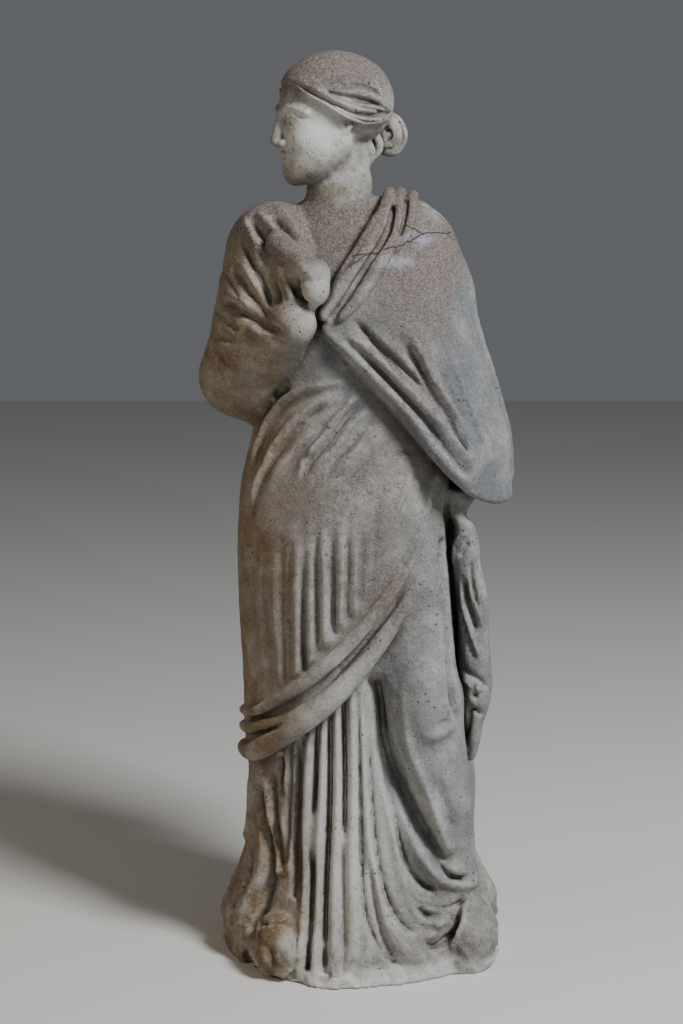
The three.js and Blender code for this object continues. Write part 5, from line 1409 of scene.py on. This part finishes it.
# near-black painted shadow in the deepest folds
colour = tinted((0.035, 0.027, 0.02), between_limits(dirt_and_shade, 0.7, 1.2, 0.0, 0.7), colour)
worn = sum_of(
    "MULTIPLY",
    between_limits(recorded("edge"), 0.12, 0.7),
    between_limits(grain(0.008, 5), 0.35, 0.6),
)
colour = tinted((0.55, 0.535, 0.49), sum_of("MULTIPLY", worn, 0.28), colour)
mend = sum_of("MULTIPLY", recorded("mend"), between_limits(grain(0.01), 0.35, 0.6, 0, 0.8))
colour = tinted((0.33, 0.33, 0.4), mend, colour)
holes = sum_of("MAXIMUM", pits(0.011, 0.13, 0.5), pits(0.005, 0.16, 0.5))
colour = tinted((0.04, 0.03, 0.022), sum_of("MULTIPLY", holes, 0.75), colour)

# the repair is a thin dark line across the rolls at the left shoulder
place_xyz = nodes.new("ShaderNodeSeparateXYZ")
links.new(where, place_xyz.inputs[0])


def crack(start, stop, waver):
    """A hairline from start to stop, each x and height in the figure's millimetres."""
    x0, z0, x1, z1 = [
        value / 1000 for value in (start[0] - middle[0], start[1], stop[0] - middle[0], stop[1])
    ]
    slope = (z1 - z0) / (x1 - x0)
    along = sum_of("SUBTRACT", place_xyz.outputs["X"], x0)
    height = sum_of("ADD", sum_of("MULTIPLY", along, slope), z0)
    wavy = sum_of("MULTIPLY", sum_of("SUBTRACT", grain(0.02, 3), 0.5), waver)
    off = sum_of("ABSOLUTE", sum_of("SUBTRACT", place_xyz.outputs["Z"], sum_of("ADD", height, wavy)), 0)
    line = between_limits(off, 0.0009, 0.0003)
    line = sum_of("MULTIPLY", line, sum_of("LESS_THAN", place_xyz.outputs["Y"], 0.0))
    line = sum_of("MULTIPLY", line, sum_of("GREATER_THAN", along, 0.0))
    return sum_of("MULTIPLY", line, sum_of("LESS_THAN", along, x1 - x0))


cracks = sum_of("MAXIMUM", crack([-8, 776], [72, 806], 0.016), crack([70, 806], [104, 808], 0.01))
side_cracks = sum_of("MAXIMUM", crack([-6, 784], [16, 786], 0.01), crack([52, 816], [72, 805], 0.01))
cracks = sum_of("MAXIMUM", cracks, side_cracks)
colour = tinted((0.035, 0.028, 0.022), sum_of("MULTIPLY", cracks, 0.85), colour)
links.new(colour, shader.inputs["Base Color"])

relief = grain(0.005, 6, 0.7)
relief = sum_of("ADD", relief, sum_of("MULTIPLY", grain(0.0016, 4, 0.7), 0.5))
relief = sum_of("SUBTRACT", relief, sum_of("MULTIPLY", sum_of("MAXIMUM", holes, cracks), 1.3))
bump = nodes.new("ShaderNodeBump")
bump.inputs["Strength"].default_value = 0.9
bump.inputs["Distance"].default_value = 0.0022
links.new(relief, bump.inputs["Height"])
links.new(bump.outputs["Normal"], shader.inputs["Normal"])
links.new(between_limits(grain(0.008), 0.3, 0.7, 0.68, 0.9), shader.inputs["Roughness"])
shader.inputs["Specular IOR Level"].default_value = 0.35
cut.materials.clear()
cut.materials.append(marble)

# ------------------------------------------------------------------------------------------
# The statue stands on a plain pale floor, under a soft box high at its left front and a weaker,
# warmer one low at its right.
floor_mesh = bpy.data.meshes.new("floor")
floor_mesh.from_pydata([(-6, -6, 0), (6, -6, 0), (6, 6, 0), (-6, 6, 0)], [], [(0, 1, 2, 3)])
floor = bpy.data.objects.new("floor", floor_mesh)
floor_paint = bpy.data.materials.new("floor")
floor_paint.use_nodes = True
floor_paint.node_tree.nodes["Principled BSDF"].inputs["Base Color"].default_value = (0.62, 0.61, 0.59, 1)
floor_paint.node_tree.nodes["Principled BSDF"].inputs["Roughness"].default_value = 0.9
floor_mesh.materials.append(floor_paint)
bpy.context.scene.collection.objects.link(floor)


def soft_box(name, at, size, power, tint):
    light = bpy.data.lights.new(name, "AREA")
    light.size = size
    light.energy = power
    light.color = tint
    lamp = bpy.data.objects.new(name, light)
    lamp.location = at
    lamp.rotation_euler = (Vector((0, 0, 0.5)) - Vector(at)).to_track_quat("-Z", "Y").to_euler()
    bpy.context.scene.collection.objects.link(lamp)


soft_box("key", (1.35, -1.3, 2.3), 0.6, 100, (0.975, 0.99, 1))
soft_box("warm side", (-2.0, -0.7, 1.1), 0.7, 10, (1, 0.78, 0.48))
world = bpy.data.worlds.new("studio")
world.use_nodes = True
world.node_tree.nodes["Background"].inputs["Color"].default_value = (0.72, 0.75, 0.8, 1)
world.node_tree.nodes["Background"].inputs["Strength"].default_value = 0.17
bpy.context.scene.world = world
